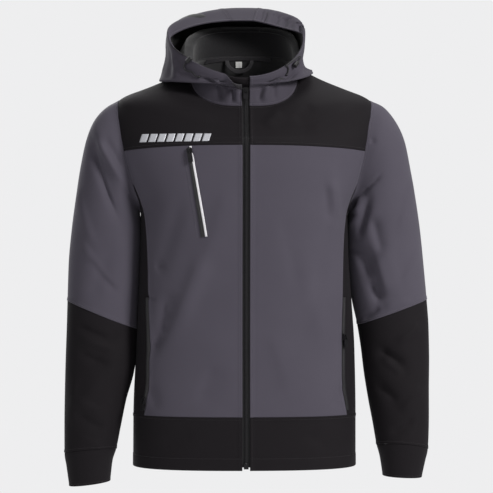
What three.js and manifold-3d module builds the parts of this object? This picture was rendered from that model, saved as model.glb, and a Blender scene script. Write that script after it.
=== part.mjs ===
// Hooded softshell jacket for a man, filled out as if worn, with nobody inside.
// Millimetres, +Z up, the front faces -Y and +X is the wearer's left.
// The origin lies in the middle of the neck, level with the points where the collar meets the shoulders.
import * as THREE from "three";
import { mergeVertices } from "three/addons/utils/BufferGeometryUtils.js";
import Module from "manifold-3d";

// Driving sizes
const CLOTH = 2; // thickness of the bonded cloth wall
const SEAM = 0.3; // gap between two pieces that are sewn together
const NECK_LEVEL = 0;
const SHOULDER_LEVEL = -56;
const ARMHOLE_BOTTOM = -262;
const HEM_BOTTOM = -709;
const ARMHOLE_DEPTH = 55; // half the armhole's width from front to back
const ARMHOLE_ANGLES = [0, 18, 36, 54, 71, 87, 102.5, 118, 139, 160, 180];
const YOKE_CORNER = 5; // place in ARMHOLE_ANGLES where the yoke seam ends
const SIDE_CORNER = 7; // place in ARMHOLE_ANGLES where the side panel's seam ends
const ZIP_HALF = 6.5; // half the black strip that shows between the two fronts
const FRONT_COLUMNS = 9;
const BACK_COLUMNS = 14;
const SIDE_COLUMNS = 6;
const STEP = 0.25; // small step used to measure a surface's slope, mm or degrees
const SLIGHT = 1e-6; // far below any size here, so that a level on a seam counts as below or above it

// Rings of the body, from the hem up. Half widths to the wearer's right and left, depths to front and back,
// how far the ring's front and back lie above its sides, its squareness, and how soon the dip begins.
const BODY_RINGS = [
  { level: -709, right: 199.5, left: 198, front: 118, back: 112, dipFront: 0, dipBack: 0, square: 2.6, round: 1 },
  { level: -616, right: 199, left: 198, front: 117, back: 110, dipFront: 0, dipBack: 0, square: 2.6, round: 1 },
  { level: -500, right: 194, left: 196, front: 112, back: 104, dipFront: 0, dipBack: 0, square: 2.6, round: 1 },
  { level: -404, right: 190, left: 190, front: 113, back: 102, dipFront: 0, dipBack: 0, square: 2.6, round: 1 },
  { level: -325, right: 187, left: 185, front: 118, back: 106, dipFront: 0, dipBack: 0, square: 2.6, round: 1 },
  { level: -262, right: 186, left: 184, front: 123, back: 111, dipFront: 0, dipBack: 0, square: 2.6, round: 1 },
  { level: -208, right: 207, left: 206, front: 124, back: 115, dipFront: 4, dipBack: 0, square: 2.5, round: 1 },
  { level: -155, right: 229, left: 226, front: 121, back: 117, dipFront: 12.7, dipBack: 2, square: 2.4, round: 1 },
  { level: -110, right: 237, left: 233, front: 111, back: 115, dipFront: -15, dipBack: 8, square: 2.3, round: 0.6 },
  { level: -85, right: 236, left: 233, front: 105, back: 110, dipFront: -31, dipBack: 15, square: 2.25, round: 0.4 },
  { level: -70, right: 232, left: 230.5, front: 102, back: 106, dipFront: -39, dipBack: 19, square: 2.2, round: 0.3 },
  { level: -62, right: 229, left: 228.5, front: 100, back: 103, dipFront: -43.5, dipBack: 21, square: 2.2, round: 0.27 },
  { level: -56, right: 224.5, left: 224.5, front: 98, back: 101, dipFront: -47, dipBack: 23, square: 2.2, round: 0.25 },
  { level: -50, right: 215.5, left: 215.5, front: 96.5, back: 98, dipFront: -51, dipBack: 24.5, square: 2.2, round: 0.21 },
  { level: -44, right: 202, left: 202, front: 95, back: 94, dipFront: -54.5, dipBack: 26.5, square: 2.17, round: 0.2 },
  { level: -40, right: 190.5, left: 191, front: 94, back: 91, dipFront: -57, dipBack: 28, square: 2.15, round: 0.2 },
  { level: -30, right: 164.5, left: 165, front: 91, back: 85, dipFront: -62, dipBack: 30, square: 2.1, round: 0.25 },
  { level: -12, right: 122, left: 120, front: 85, back: 76, dipFront: -68, dipBack: 31, square: 2.15, round: 0.6 },
  { level: 0, right: 97, left: 94, front: 80, back: 72, dipFront: -71, dipBack: 31, square: 2.3, round: 1 },
];

// Levels shared by every panel of the body, so that neighbours meet edge to edge.
const HEM_LEVELS = [-709, -688, -664, -640, -616];
const SHOULDER_LEVELS = [-47, -36, -24, -12];
const LOWER_LEVELS = [-616, -586, -556, -526, -496, -466, -436, -408, -378, -348, -318, -290];

// The seam between a front and its side panel, by its distance from the middle.
const SIDE_SEAM = [
  { level: -709, x: 180 },
  { level: -616, x: 178 },
  { level: -596, x: 175 },
  { level: -546, x: 169 },
  { level: -472, x: 169 },
  { level: -408, x: 171 },
  { level: -352, x: 172 },
  { level: -300, x: 174 },
  { level: -262, x: 178 },
  { level: -237, x: 185 },
  { level: -207.9, x: 197.5 },
];

// Rings of the collar and hood, along the cloth from the neck seam to the rim of the opening.
// Each has its half widths, the place of its middle, its depths, its height on all four sides, and how
// soon it arches up from its right side towards the back.
const HOOD_RINGS = [
  { ring: 0, right: 97, left: 94, middle: 0, front: 80, back: 72, zFront: -71, zRight: 0, zLeft: 0, zBack: 31, arch: 0 },
  { ring: 1, right: 93, left: 87, middle: 0, front: 80, back: 72, zFront: -38.5, zRight: 34, zLeft: 33, zBack: 76, arch: 0 },
  { ring: 2, right: 105, left: 95, middle: 0, front: 82, back: 84, zFront: -36, zRight: 42, zLeft: 42, zBack: 86, arch: 0 },
  { ring: 3, right: 130, left: 101, middle: 0, front: 84, back: 104, zFront: -34, zRight: -3, zLeft: 3, zBack: 42, arch: 0 },
  { ring: 4, right: 154, left: 123, middle: 0, front: 86, back: 122, zFront: -32, zRight: -21, zLeft: -1.5, zBack: -7, arch: 0 },
  { ring: 5, right: 144, left: 108, middle: 0, front: 87, back: 136, zFront: -29, zRight: -1, zLeft: 7, zBack: 6, arch: 0 },
  { ring: 6, right: 138, left: 104, middle: 0, front: 88, back: 131, zFront: -27, zRight: 28, zLeft: 28, zBack: 55, arch: 0 },
  { ring: 7, right: 140, left: 107, middle: 0, front: 89, back: 108, zFront: -24.5, zRight: 56, zLeft: 52, zBack: 101, arch: 0.15 },
  { ring: 8, right: 138, left: 108, middle: -2, front: 87, back: 64, zFront: -22, zRight: 71, zLeft: 72, zBack: 118, arch: 0.5 },
  { ring: 9, right: 134, left: 104, middle: -14, front: 74, back: 34, zFront: -19, zRight: 55, zLeft: 60, zBack: 91, arch: 1 },
];
const HOOD_SQUARE = 2.3;
const HOOD_ROUND_FRONT = 0.7;
const ARCH_POWER = 1.5;
const HOOD_SEAM_LEFT = 157.5; // angles of the two seams beside the hood's middle panel
const HOOD_SEAM_RIGHT = 212.5;
const COLLAR_TOP = 1;
const RIM_RING = 9;
const RING_STEP = 0.05; // as STEP, along the rings
const COLLAR_STEPS = [0, 0.4, COLLAR_TOP];
const HOOD_SEAM_TRIM = 0.12; // degrees taken off each side of a hood seam
const HOOD_STEPS = [1, 1.5, 2, 3, 3.6, 4, 4.4, 5, 6, 6.7, 7.2, 7.6, 8, 8.35, 8.7, 9];

// The drawcord bunches the band above the rim, on the wearer's left of the middle panel.
const GATHERS = { from: 100, to: 156, count: 8, height: 2.6, slant: 9, ringFrom: 7.4, ringTo: 8.9 };

// The wearer's right top corner of the front is turned out and down.
const PEEL = { inner: 12, outer: 38, drop: 25, out: 14 };

// Front zip: a chain of teeth on two tapes, with a box at its foot and a slider at the collar.
const TAPE = { inner: 0.4, outer: 10, thickness: 1, bottom: -703, top: 0.95 };
const CHAIN = { half: 2.8, thickness: 2.2, bottom: -696, top: 0.52 };
const ZIP_BOX = { half: 4.2, bottom: -706, top: -696.4, thickness: 3.4 };
const GUARD = { from: -24, to: 4.5, columns: 5, thickness: 1.2 };
const GUARD_RINGS = [0.5, 1, 2, 4, 6, 7.5, 8.8];

// Zips that lie on the panels: half their width, their thickness, and their gap to the cloth below.
const CHEST_ZIP = { x0: -97.2, z0: -160, x1: -74.7, z1: -301.5, half: 3.2, thickness: 1.4 };
const CHEST_PIPING = { x0: -91.2, z0: -160, x1: -68.8, z1: -300.6, half: 2, thickness: 1.1 };
const CHEST_STEPS = 8;
const POCKET_ZIP = { top: -408, bottom: -607, half: 3.5, thickness: 1.4, shift: 3.5 };
const TRIM_GAP = 0.5;

// Sliders: the place along each zip, and the length of the pull that hangs from it.
const SLIDER = { width: 9.5, length: 12, height: 3.2, bailWidth: 2, bailLength: 7.4, bailHeight: 3.1 };
const BAIL_HOLE = { length: 3.8, height: 2 };
const FRONT_SLIDER_PLACE = 0.7;
const FRONT_PULL = 15;
const CHEST_SLIDER_Z = -152;
const CHEST_PULL = 21;
const POCKET_SLIDERS = { left: -478, right: -590 };
const POCKET_PULL = 19;
const PULL = { width: 8.4, thickness: 1.2, bar: 1.3, slotWidth: 5, slotLength: 4.2 };

// Neck: the tape over the seam, the blank label and the hanging loop.
const NECK_TAPE = { from: 142, to: 232, bottom: -7.5, thickness: 1 };
const NECK_LABEL = { x: -9.5, half: 6, top: -9, bottom: -19.5, thickness: 0.8 };
const HANGER = { x: -8.5, z: 23, outer: 26.5, inner: 19, drop: 24, thickness: 1.2, steps: 14 };

// Hood cord: its thickness, its lock, and its way over the hood from the lock to the eyelet it goes back into.
// Each row is a place on the hood and how far the cord's middle lies above the cloth's middle there.
const CORD_DIAMETER = 2.5;
const LOCK = { radius: 4.3, length: 12, lip: 0.8, gap: 0.6, sides: 12 };
const CORD_ROUTES = {
  right: [
    { angle: 303.5, ring: 7.35, lift: 5.5 },
    { angle: 301.6, ring: 6.75, lift: 5.2 },
    { angle: 300.6, ring: 6.3, lift: 4.4 },
    { angle: 301.6, ring: 5.98, lift: 3.7 },
    { angle: 303.9, ring: 5.9, lift: 3.3 },
    { angle: 306.2, ring: 6, lift: 3.1 },
    { angle: 308.2, ring: 5.75, lift: 3.1 },
    { angle: 309.7, ring: 5.45, lift: 3 },
    { angle: 311.2, ring: 5.33, lift: 2.9 },
    { angle: 313.4, ring: 5.4, lift: 2.7 },
  ],
  left: [
    { angle: 57, ring: 7.6, lift: 5.5 },
    { angle: 59.3, ring: 7.65, lift: 5.3 },
    { angle: 61.5, ring: 7.9, lift: 4.8 },
    { angle: 62.6, ring: 8.35, lift: 4.2 },
    { angle: 61.8, ring: 8.8, lift: 3.7 },
    { angle: 59.4, ring: 8.97, lift: 3.3 },
    { angle: 56, ring: 8.98, lift: 3.1 },
    { angle: 52, ring: 8.98, lift: 3 },
    { angle: 48.6, ring: 8.85, lift: 3 },
    { angle: 47, ring: 8.3, lift: 3 },
    { angle: 46.6, ring: 7.6, lift: 2.9 },
    { angle: 46.4, ring: 7, lift: 2.8 },
    { angle: 45.9, ring: 6.6, lift: 2.8 },
    { angle: 45.2, ring: 6.2, lift: 2.7 },
  ],
};
const CORD_STEPS = 14;

// Stations of each sleeve, from the armhole to the wrist: the outer and inner edge as seen from the front,
// half the depth from front to back, the place of the middle, and how far the front is lifted.
const SLEEVES = {
  left: [
    { station: 0, outX: 224, outZ: -56, inX: 184, inZ: -262, depth: 55, middle: 0, lift: 0 },
    { station: 1, outX: 246, outZ: -65.5, inX: 191, inZ: -254, depth: 58, middle: 0, lift: 0 },
    { station: 2, outX: 268.5, outZ: -90, inX: 193.5, inZ: -259, depth: 61, middle: 1, lift: 0 },
    { station: 3, outX: 286.5, outZ: -127, inX: 191, inZ: -276, depth: 64, middle: 2, lift: 0 },
    { station: 4, outX: 298, outZ: -181, inX: 188.3, inZ: -304, depth: 66, middle: 3, lift: 0 },
    { station: 5, outX: 307, outZ: -232, inX: 188.3, inZ: -334, depth: 66, middle: 4, lift: 0 },
    { station: 6, outX: 315, outZ: -287, inX: 190.3, inZ: -368, depth: 65, middle: 5, lift: 0 },
    { station: 7, outX: 321.5, outZ: -350, inX: 194, inZ: -410, depth: 62, middle: 5, lift: 0 },
    { station: 8, outX: 327, outZ: -413, inX: 204, inZ: -458, depth: 59, middle: 3, lift: 0 },
    { station: 9, outX: 330, outZ: -463, inX: 210, inZ: -498, depth: 57, middle: -2, lift: 0 },
    { station: 10, outX: 330.5, outZ: -515, inX: 215, inZ: -542, depth: 55, middle: -7, lift: 1 },
    { station: 11, outX: 329.5, outZ: -570, inX: 222, inZ: -588, depth: 52, middle: -12, lift: 2 },
    { station: 12, outX: 329, outZ: -625, inX: 230, inZ: -632, depth: 49, middle: -17, lift: 4 },
    { station: 13, outX: 326.5, outZ: -681, inX: 237, inZ: -673, depth: 45, middle: -22, lift: 9 },
    { station: 14, outX: 322, outZ: -700, inX: 242, inZ: -692, depth: 40, middle: -24, lift: 4 },
    { station: 15, outX: 315, outZ: -730, inX: 247.5, inZ: -727, depth: 36, middle: -25, lift: 0 },
  ],
  right: [
    { station: 0, outX: 224.5, outZ: -56, inX: 186, inZ: -262, depth: 55, middle: 0, lift: 0 },
    { station: 1, outX: 248, outZ: -69, inX: 192.5, inZ: -254, depth: 58, middle: 0, lift: 0 },
    { station: 2, outX: 269, outZ: -92, inX: 195, inZ: -259, depth: 61, middle: 1, lift: 0 },
    { station: 3, outX: 283, outZ: -125, inX: 192.5, inZ: -276, depth: 64, middle: 2, lift: 0 },
    { station: 4, outX: 294, outZ: -175, inX: 190, inZ: -304, depth: 66, middle: 3, lift: 0 },
    { station: 5, outX: 302, outZ: -227, inX: 190.3, inZ: -334, depth: 66, middle: 4, lift: 0 },
    { station: 6, outX: 310, outZ: -287, inX: 191.8, inZ: -368, depth: 65, middle: 5, lift: 0 },
    { station: 7, outX: 315.5, outZ: -348, inX: 193.6, inZ: -412, depth: 62, middle: 5, lift: 0 },
    { station: 8, outX: 317.5, outZ: -415, inX: 196, inZ: -466, depth: 59, middle: 3, lift: 0 },
    { station: 9, outX: 318.5, outZ: -463, inX: 197.8, inZ: -507, depth: 57, middle: -2, lift: 0 },
    { station: 10, outX: 320, outZ: -517, inX: 201, inZ: -546, depth: 55, middle: -8, lift: 1 },
    { station: 11, outX: 321, outZ: -572, inX: 213, inZ: -590, depth: 52, middle: -14, lift: 2 },
    { station: 12, outX: 321.5, outZ: -628, inX: 222, inZ: -634, depth: 49, middle: -19, lift: 4 },
    { station: 13, outX: 321, outZ: -686, inX: 231, inZ: -679, depth: 45, middle: -24, lift: 6 },
    { station: 14, outX: 317.5, outZ: -709, inX: 237, inZ: -698, depth: 40, middle: -26, lift: 3 },
    { station: 15, outX: 312.5, outZ: -744, inX: 241.5, inZ: -735, depth: 36, middle: -27, lift: 0 },
  ],
};
const UPPER_STATIONS = [0, 0.5, 1, 1.5, 2, 2.6, 3.3, 4, 4.8, 5.6, 6.4, 7.2, 8];
const LOWER_STATIONS = [8, 8.6, 9.2, 9.9, 10.6, 11.3, 12.1, 13];
const CUFF_STATIONS = [13, 13.4, 13.8, 14.4, 15];
const WRIST_STATION = 15;
const ARMHOLE_FADE = 3.5; // station by which a sleeve has left the armhole's shape
const SLEEVE_SQUARE = 2.15;

// The largest folds: a line on the face named, its width across, and its height, below 0 for a trough.
const BODY_FOLDS = [
  { face: "front", x0: -135, z0: -412, x1: -152, z1: -474, width: 13, height: -5 },
  { face: "front", x0: -150, z0: -470, x1: -166, z1: -506, width: 11, height: -4 },
  { face: "front", x0: -70, z0: -330, x1: -122, z1: -462, width: 18, height: 3.5 },
  { face: "front", x0: -118, z0: -250, x1: -150, z1: -355, width: 16, height: -3.5 },
  { face: "front", x0: 150, z0: -195, x1: 156, z1: -280, width: 12, height: 3.5 },
  { face: "front", x0: 96, z0: -330, x1: 136, z1: -480, width: 20, height: 3 },
  { face: "front", x0: 150, z0: -300, x1: 118, z1: -420, width: 16, height: -3 },
  { face: "back", x0: -60, z0: -250, x1: -130, z1: -420, width: 20, height: 4 },
  { face: "back", x0: 75, z0: -240, x1: 128, z1: -400, width: 18, height: 4 },
  { face: "back", x0: -30, z0: -420, x1: -95, z1: -560, width: 22, height: -4 },
  { face: "back", x0: 40, z0: -440, x1: 100, z1: -560, width: 20, height: -3.5 },
];
const SLEEVE_FOLDS = {
  left: [
    { face: "front", x0: 217, z0: -232, x1: 202, z1: -300, width: 9, height: -5 },
    { face: "front", x0: 212, z0: -330, x1: 238, z1: -412, width: 14, height: -8 },
    { face: "front", x0: 240, z0: -300, x1: 262, z1: -385, width: 16, height: 4 },
    { face: "front", x0: 236, z0: -500, x1: 282, z1: -538, width: 13, height: -5 },
    { face: "front", x0: 232, z0: -560, x1: 268, z1: -600, width: 12, height: -3 },
    { face: "back", x0: 262, z0: -150, x1: 222, z1: -270, width: 16, height: -5 },
    { face: "back", x0: 236, z0: -370, x1: 292, z1: -410, width: 14, height: -5 },
    { face: "back", x0: 240, z0: -480, x1: 290, z1: -530, width: 14, height: 4 },
  ],
  right: [
    { face: "front", x0: 258, z0: -124, x1: 212, z1: -216, width: 11, height: 4.5 },
    { face: "front", x0: 270, z0: -132, x1: 222, z1: -272, width: 11, height: -4.5 },
    { face: "front", x0: 240, z0: -330, x1: 268, z1: -400, width: 15, height: -3.5 },
    { face: "front", x0: 226, z0: -478, x1: 270, z1: -520, width: 14, height: -4 },
    { face: "front", x0: 262, z0: -560, x1: 300, z1: -610, width: 14, height: 3 },
    { face: "back", x0: 255, z0: -150, x1: 222, z1: -262, width: 15, height: -5 },
    { face: "back", x0: 238, z0: -380, x1: 290, z1: -425, width: 14, height: 4.5 },
    { face: "back", x0: 235, z0: -505, x1: 285, z1: -545, width: 14, height: -4 },
  ],
};

// Colours
const CHARCOAL = 0x56525d;
const BLACK = 0x262226;
const HOOD_GREY = 0x4d4953;
const TRIM_BLACK = 0x161517;
const PIPING_WHITE = 0xf2f0f3;
const METAL_BLACK = 0x2b2a2d;
const LABEL_WHITE = 0xf4f4f2;

const jacket = new THREE.Group();
jacket.name = "softshell_jacket";

function cloth(colour) {
  return new THREE.MeshStandardMaterial({ color: colour, roughness: 0.85, metalness: 0 });
}

function hardware(colour, metalness) {
  return new THREE.MeshStandardMaterial({ color: colour, roughness: 0.4, metalness });
}

function degrees(angle) {
  return (angle * Math.PI) / 180;
}

function mix(a, b, share) {
  return a + (b - a) * share;
}

function smoothStep(from, to, value) {
  const t = Math.min(1, Math.max(0, (value - from) / (to - from)));
  return t * t * (3 - 2 * t);
}

// A smooth curve through one column of a table, which never swings past its rows.
function columnCurve(rows, key, column) {
  const x = rows.map((row) => row[key]);
  const y = rows.map((row) => row[column]);
  const rise = x.slice(1).map((value, i) => (y[i + 1] - y[i]) / (value - x[i]));
  const slope = x.map((value, i) => {
    if (i === 0) return rise[0];
    if (i === x.length - 1) return rise[i - 1];
    const product = rise[i - 1] * rise[i];
    return product <= 0 ? 0 : (2 * product) / (rise[i - 1] + rise[i]);
  });
  return (at) => {
    const inside = Math.min(x[x.length - 1], Math.max(x[0], at));
    let i = 0;
    while (i < x.length - 2 && inside > x[i + 1]) i += 1;
    const width = x[i + 1] - x[i];
    const t = (inside - x[i]) / width;
    const t2 = t * t;
    const t3 = t2 * t;
    return (
      y[i] * (2 * t3 - 3 * t2 + 1) +
      slope[i] * width * (t3 - 2 * t2 + t) +
      y[i + 1] * (3 * t2 - 2 * t3) +
      slope[i + 1] * width * (t3 - t2)
    );
  };
}

function tableCurves(rows, key) {
  const curves = {};
  for (const column of Object.keys(rows[0])) {
    if (column !== key) curves[column] = columnCurve(rows, key, column);
  }
  return (at) => {
    const row = {};
    for (const column of Object.keys(curves)) row[column] = curves[column](at);
    return row;
  };
}

// A point of a ring in the direction of an angle, 0 at the front and 90 at the wearer's left.
function ringPoint(angle, ring) {
  const sine = Math.sin(degrees(angle));
  const cosine = Math.cos(degrees(angle));
  const side = sine >= 0 ? ring.left : ring.right;
  const depth = cosine >= 0 ? ring.front : ring.back;
  const reach = Math.pow(Math.abs(sine / side), ring.square) + Math.pow(Math.abs(cosine / depth), ring.square);
  const radius = Math.pow(reach, -1 / ring.square);
  const share = Math.abs(cosine);
  const dip = mix(Math.pow(share, 1.5), 1 - Math.pow(1 - share, 1.75), ring.round);
  const zSide = sine >= 0 ? ring.zLeft : ring.zRight;
  const zEnd = cosine >= 0 ? ring.zFront : ring.zBack;
  return new THREE.Vector3(radius * sine, ring.middle - radius * cosine, mix(zSide, zEnd, dip));
}

// How far the folds move the point of one face.
function foldHeight(folds, face, x, z) {
  let height = 0;
  for (const fold of folds) {
    if (fold.face !== face) continue;
    const dx = fold.x1 - fold.x0;
    const dz = fold.z1 - fold.z0;
    const length = Math.hypot(dx, dz);
    const along = ((x - fold.x0) * dx + (z - fold.z0) * dz) / (length * length);
    const across = ((x - fold.x0) * dz - (z - fold.z0) * dx) / length;
    const fade = smoothStep(-0.35, 0.25, along) * (1 - smoothStep(0.75, 1.35, along));
    height += fold.height * fade * Math.exp(-((across / fold.width) ** 2));
  }
  return height;
}

function surfaceNormal(surface, a, b, turn) {
  const across = surface(a + STEP, b).sub(surface(a - STEP, b));
  const up = surface(a, b + STEP).sub(surface(a, b - STEP));
  return across.cross(up).multiplyScalar(turn).normalize();
}

const bodyRing = tableCurves(BODY_RINGS, "level");

function bodyRingAt(level) {
  const row = bodyRing(level);
  const zEnds = { zFront: level + row.dipFront, zBack: level + row.dipBack };
  return { ...row, ...zEnds, zRight: level, zLeft: level, middle: 0 };
}

function plainBody(angle, level) {
  return ringPoint(angle, bodyRingAt(level));
}

// The body's middle surface with its folds.
function body(angle, level) {
  const point = plainBody(angle, level);
  const cosine = Math.cos(degrees(angle));
  const height = foldHeight(BODY_FOLDS, cosine >= 0 ? "front" : "back", point.x, point.z);
  if (height === 0) return point;
  const facing = smoothStep(0.1, 0.45, Math.abs(cosine));
  return point.addScaledVector(surfaceNormal(plainBody, angle, level, 1), height * facing);
}

function bodyNormal(angle, level) {
  const inside = Math.min(NECK_LEVEL - STEP, Math.max(HEM_BOTTOM + STEP, level));
  return surfaceNormal(body, angle, inside, 1);
}

// The angle at which a ring of the body reaches a distance from the middle, on the front or back half.
function angleAtX(level, x, front) {
  const ring = bodyRingAt(level);
  const side = x >= 0 ? ring.left : ring.right;
  const depth = front ? ring.front : ring.back;
  const share = Math.min(1, Math.abs(x) / side);
  const y = depth * Math.pow(1 - Math.pow(share, ring.square), 1 / ring.square);
  const angle = (Math.atan2(Math.abs(x), y) * 180) / Math.PI;
  const turned = front ? angle : 180 - angle;
  return x >= 0 ? turned : -turned;
}

// The armhole is an oval cut in the body: its level and its angle, by the way round it from the top.
function armholeLevel(turn) {
  const middle = (SHOULDER_LEVEL + ARMHOLE_BOTTOM) / 2;
  return middle + ((SHOULDER_LEVEL - ARMHOLE_BOTTOM) / 2) * Math.cos(degrees(turn));
}

function armholeAngle(turn, side) {
  const ring = bodyRingAt(armholeLevel(turn));
  const y = ARMHOLE_DEPTH * Math.abs(Math.sin(degrees(turn)));
  const depth = turn <= 180 ? ring.front : ring.back;
  const x = ring[side] * Math.pow(1 - Math.pow(y / depth, ring.square), 1 / ring.square);
  const angle = (Math.atan2(x, y) * 180) / Math.PI;
  return turn <= 180 ? angle : 180 - angle;
}

const ARMHOLE_LEVELS = ARMHOLE_ANGLES.map(armholeLevel);
const seamX = columnCurve(SIDE_SEAM, "level", "x");

// The outer edge of a front or back panel: the side seam below the armhole's corner, then the armhole,
// and the shoulder seam above it. Given on the wearer's left and mirrored for the right.
function panelEdge(level, side, front) {
  const sign = side === "left" ? 1 : -1;
  const corner = ARMHOLE_LEVELS[SIDE_CORNER];
  if (level > SHOULDER_LEVEL - SLIGHT) return 90;
  if (level < corner - SLIGHT) return Math.abs(angleAtX(level, sign * seamX(level), front));
  const middle = (SHOULDER_LEVEL + ARMHOLE_BOTTOM) / 2;
  const share = (level - middle) / ((SHOULDER_LEVEL - ARMHOLE_BOTTOM) / 2);
  const turn = (Math.acos(share) * 180) / Math.PI;
  return armholeAngle(front ? turn : 360 - turn, side);
}

function inRadius(angle, level) {
  const point = plainBody(angle, level);
  return (180 / Math.PI) * (SEAM / 2 / Math.hypot(point.x, point.y));
}

// One closed wall between an inner and an outer skin, from a grid of middle points and normals.
function wallGeometry(middles, normals, thickness, offset, wrap) {
  const columns = middles.length;
  const rows = middles[0].length;
  const positions = [];
  for (const side of [-1, 1]) {
    for (let i = 0; i < columns; i += 1) {
      for (let j = 0; j < rows; j += 1) {
        const shift = offset + (side * thickness) / 2;
        const point = middles[i][j].clone().addScaledVector(normals[i][j], shift);
        positions.push(point.x, point.y, point.z);
      }
    }
  }
  const inner = (i, j) => (i % columns) * rows + j;
  const outer = (i, j) => columns * rows + inner(i, j);
  const a = middles[1][0].clone().sub(middles[0][0]);
  const b = middles[0][1].clone().sub(middles[0][0]);
  const flipped = a.cross(b).dot(normals[0][0]) < 0;
  const index = [];
  const quad = (p, q, r, s) => {
    if (flipped) index.push(p, r, q, p, s, r);
    else index.push(p, q, r, p, r, s);
  };
  const last = wrap ? columns : columns - 1;
  for (let i = 0; i < last; i += 1) {
    for (let j = 0; j < rows - 1; j += 1) {
      quad(outer(i, j), outer(i + 1, j), outer(i + 1, j + 1), outer(i, j + 1));
      quad(inner(i, j), inner(i, j + 1), inner(i + 1, j + 1), inner(i + 1, j));
    }
    quad(outer(i, 0), inner(i, 0), inner(i + 1, 0), outer(i + 1, 0));
    const top = rows - 1;
    quad(outer(i, top), outer(i + 1, top), inner(i + 1, top), inner(i, top));
  }
  if (!wrap) {
    const end = columns - 1;
    for (let j = 0; j < rows - 1; j += 1) {
      quad(outer(0, j), outer(0, j + 1), inner(0, j + 1), inner(0, j));
      quad(outer(end, j), inner(end, j), inner(end, j + 1), outer(end, j + 1));
    }
  }
  const geometry = new THREE.BufferGeometry();
  geometry.setAttribute("position", new THREE.Float32BufferAttribute(positions, 3));
  geometry.setIndex(index);
  return geometry;
}

function addPiece(name, geometry, material) {
  const mesh = new THREE.Mesh(geometry, material);
  mesh.name = name;
  jacket.add(mesh);
  return mesh;
}

function addWall(name, material, grid, options = {}) {
  const { thickness = CLOTH, offset = 0, wrap = false } = options;
  const middles = grid.map((column) => column.map((node) => node.point));
  const normals = grid.map((column) => column.map((node) => node.normal));
  return addPiece(name, wallGeometry(middles, normals, thickness, offset, wrap), material);
}

function bodyNode(angle, level) {
  return { point: body(angle, level), normal: bodyNormal(angle, level) };
}

// A panel of the body between two edges, with a row of points at each level. Its own edges are drawn in
// by half a seam.
function bodyPanel(name, material, columns, levels, startAngle, endAngle) {
  const grid = [];
  for (let i = 0; i <= columns; i += 1) {
    const column = levels.map((level, j) => {
      const start = startAngle(level);
      const end = endAngle(level);
      const trim = inRadius((start + end) / 2, level);
      const angle = mix(start + trim, end - trim, i / columns);
      let row = level;
      if (j === 0 && level !== HEM_BOTTOM) row += SEAM / 2;
      if (j === levels.length - 1) row -= SEAM / 2;
      return bodyNode(angle, row);
    });
    grid.push(column);
  }
  return addWall(name, material, grid);
}

function centreAngle(level, sign) {
  return angleAtX(level, sign * ZIP_HALF, true);
}

const frontLevels = [...LOWER_LEVELS, ARMHOLE_BOTTOM, ...ARMHOLE_LEVELS.slice(YOKE_CORNER, 10).reverse()];
const yokeLevels = [...ARMHOLE_LEVELS.slice(0, YOKE_CORNER + 1).reverse(), ...SHOULDER_LEVELS, NECK_LEVEL];

function buildFronts() {
  const grey = () => cloth(CHARCOAL);
  const black = () => cloth(BLACK);
  for (const side of ["left", "right"]) {
    const sign = side === "left" ? 1 : -1;
    const centre = (level) => centreAngle(level, sign);
    const edge = (level) => sign * panelEdge(level, side, true);
    const start = side === "left" ? centre : edge;
    const end = side === "left" ? edge : centre;
    bodyPanel("front_" + side, grey(), FRONT_COLUMNS, frontLevels, start, end);
    bodyPanel("yoke_front_" + side, black(), FRONT_COLUMNS, yokeLevels, start, end);
    const hemStart = side === "left" ? centre : () => -90;
    const hemEnd = side === "left" ? () => 90 : centre;
    bodyPanel("hem_" + side, black(), FRONT_COLUMNS + 2, HEM_LEVELS, hemStart, hemEnd);
  }
}

function buildBack() {
  const start = (level) => panelEdge(level, "left", false);
  const end = (level) => 360 - panelEdge(level, "right", false);
  bodyPanel("back_panel", cloth(CHARCOAL), BACK_COLUMNS, frontLevels, start, end);
  bodyPanel("yoke_back", cloth(BLACK), BACK_COLUMNS + 2, yokeLevels, start, end);
  bodyPanel("hem_back", cloth(BLACK), BACK_COLUMNS + 2, HEM_LEVELS, () => 90, () => 270);
}

// A side panel runs from the hem seam up to the lower arc of the armhole.
function buildSidePanel(side) {
  const sign = side === "left" ? 1 : -1;
  const arcTurns = ARMHOLE_ANGLES.slice(SIDE_CORNER);
  const turns = [...arcTurns, ...arcTurns.slice(0, -1).reverse().map((turn) => 360 - turn)];
  const upper = [ARMHOLE_BOTTOM, ...ARMHOLE_LEVELS.slice(SIDE_CORNER, 10).reverse()];
  const base = LOWER_LEVELS[LOWER_LEVELS.length - 1];
  const corner = ARMHOLE_LEVELS[SIDE_CORNER];
  const levels = [...LOWER_LEVELS, ...upper];
  const topAngles = turns.map((turn) => armholeAngle(turn, side));
  const grid = [];
  for (let i = 0; i <= SIDE_COLUMNS; i += 1) {
    const share = i / SIDE_COLUMNS;
    const topShare = (topAngles[i] - topAngles[0]) / (topAngles[SIDE_COLUMNS] - topAngles[0]);
    const column = levels.map((edgeLevel, j) => {
      const above = Math.max(0, edgeLevel - base);
      const arc = armholeLevel(turns[i]);
      let level = edgeLevel <= base ? edgeLevel : base + (above * (arc - base)) / (corner - base);
      const first = panelEdge(edgeLevel, side, true);
      const second = panelEdge(edgeLevel, side, false);
      const trim = inRadius(90, level);
      const spread = mix(share, topShare, above / (corner - base));
      const angle = mix(first + trim, second - trim, spread);
      if (j === 0) level += SEAM / 2;
      if (j === levels.length - 1) level -= SEAM / 2;
      return bodyNode(sign * angle, level);
    });
    grid.push(column);
  }
  if (side === "right") grid.reverse();
  addWall("side_panel_" + side, cloth(BLACK), grid);
}

// Points of a sleeve by the way round it, 0 at the top and 90 at the front, and by its station.
const SLEEVE_TURNS = [
  ...ARMHOLE_ANGLES,
  ...ARMHOLE_ANGLES.slice(1, -1)
    .reverse()
    .map((turn) => 360 - turn),
];
const sleeveStation = {
  left: tableCurves(SLEEVES.left, "station"),
  right: tableCurves(SLEEVES.right, "station"),
};

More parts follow.
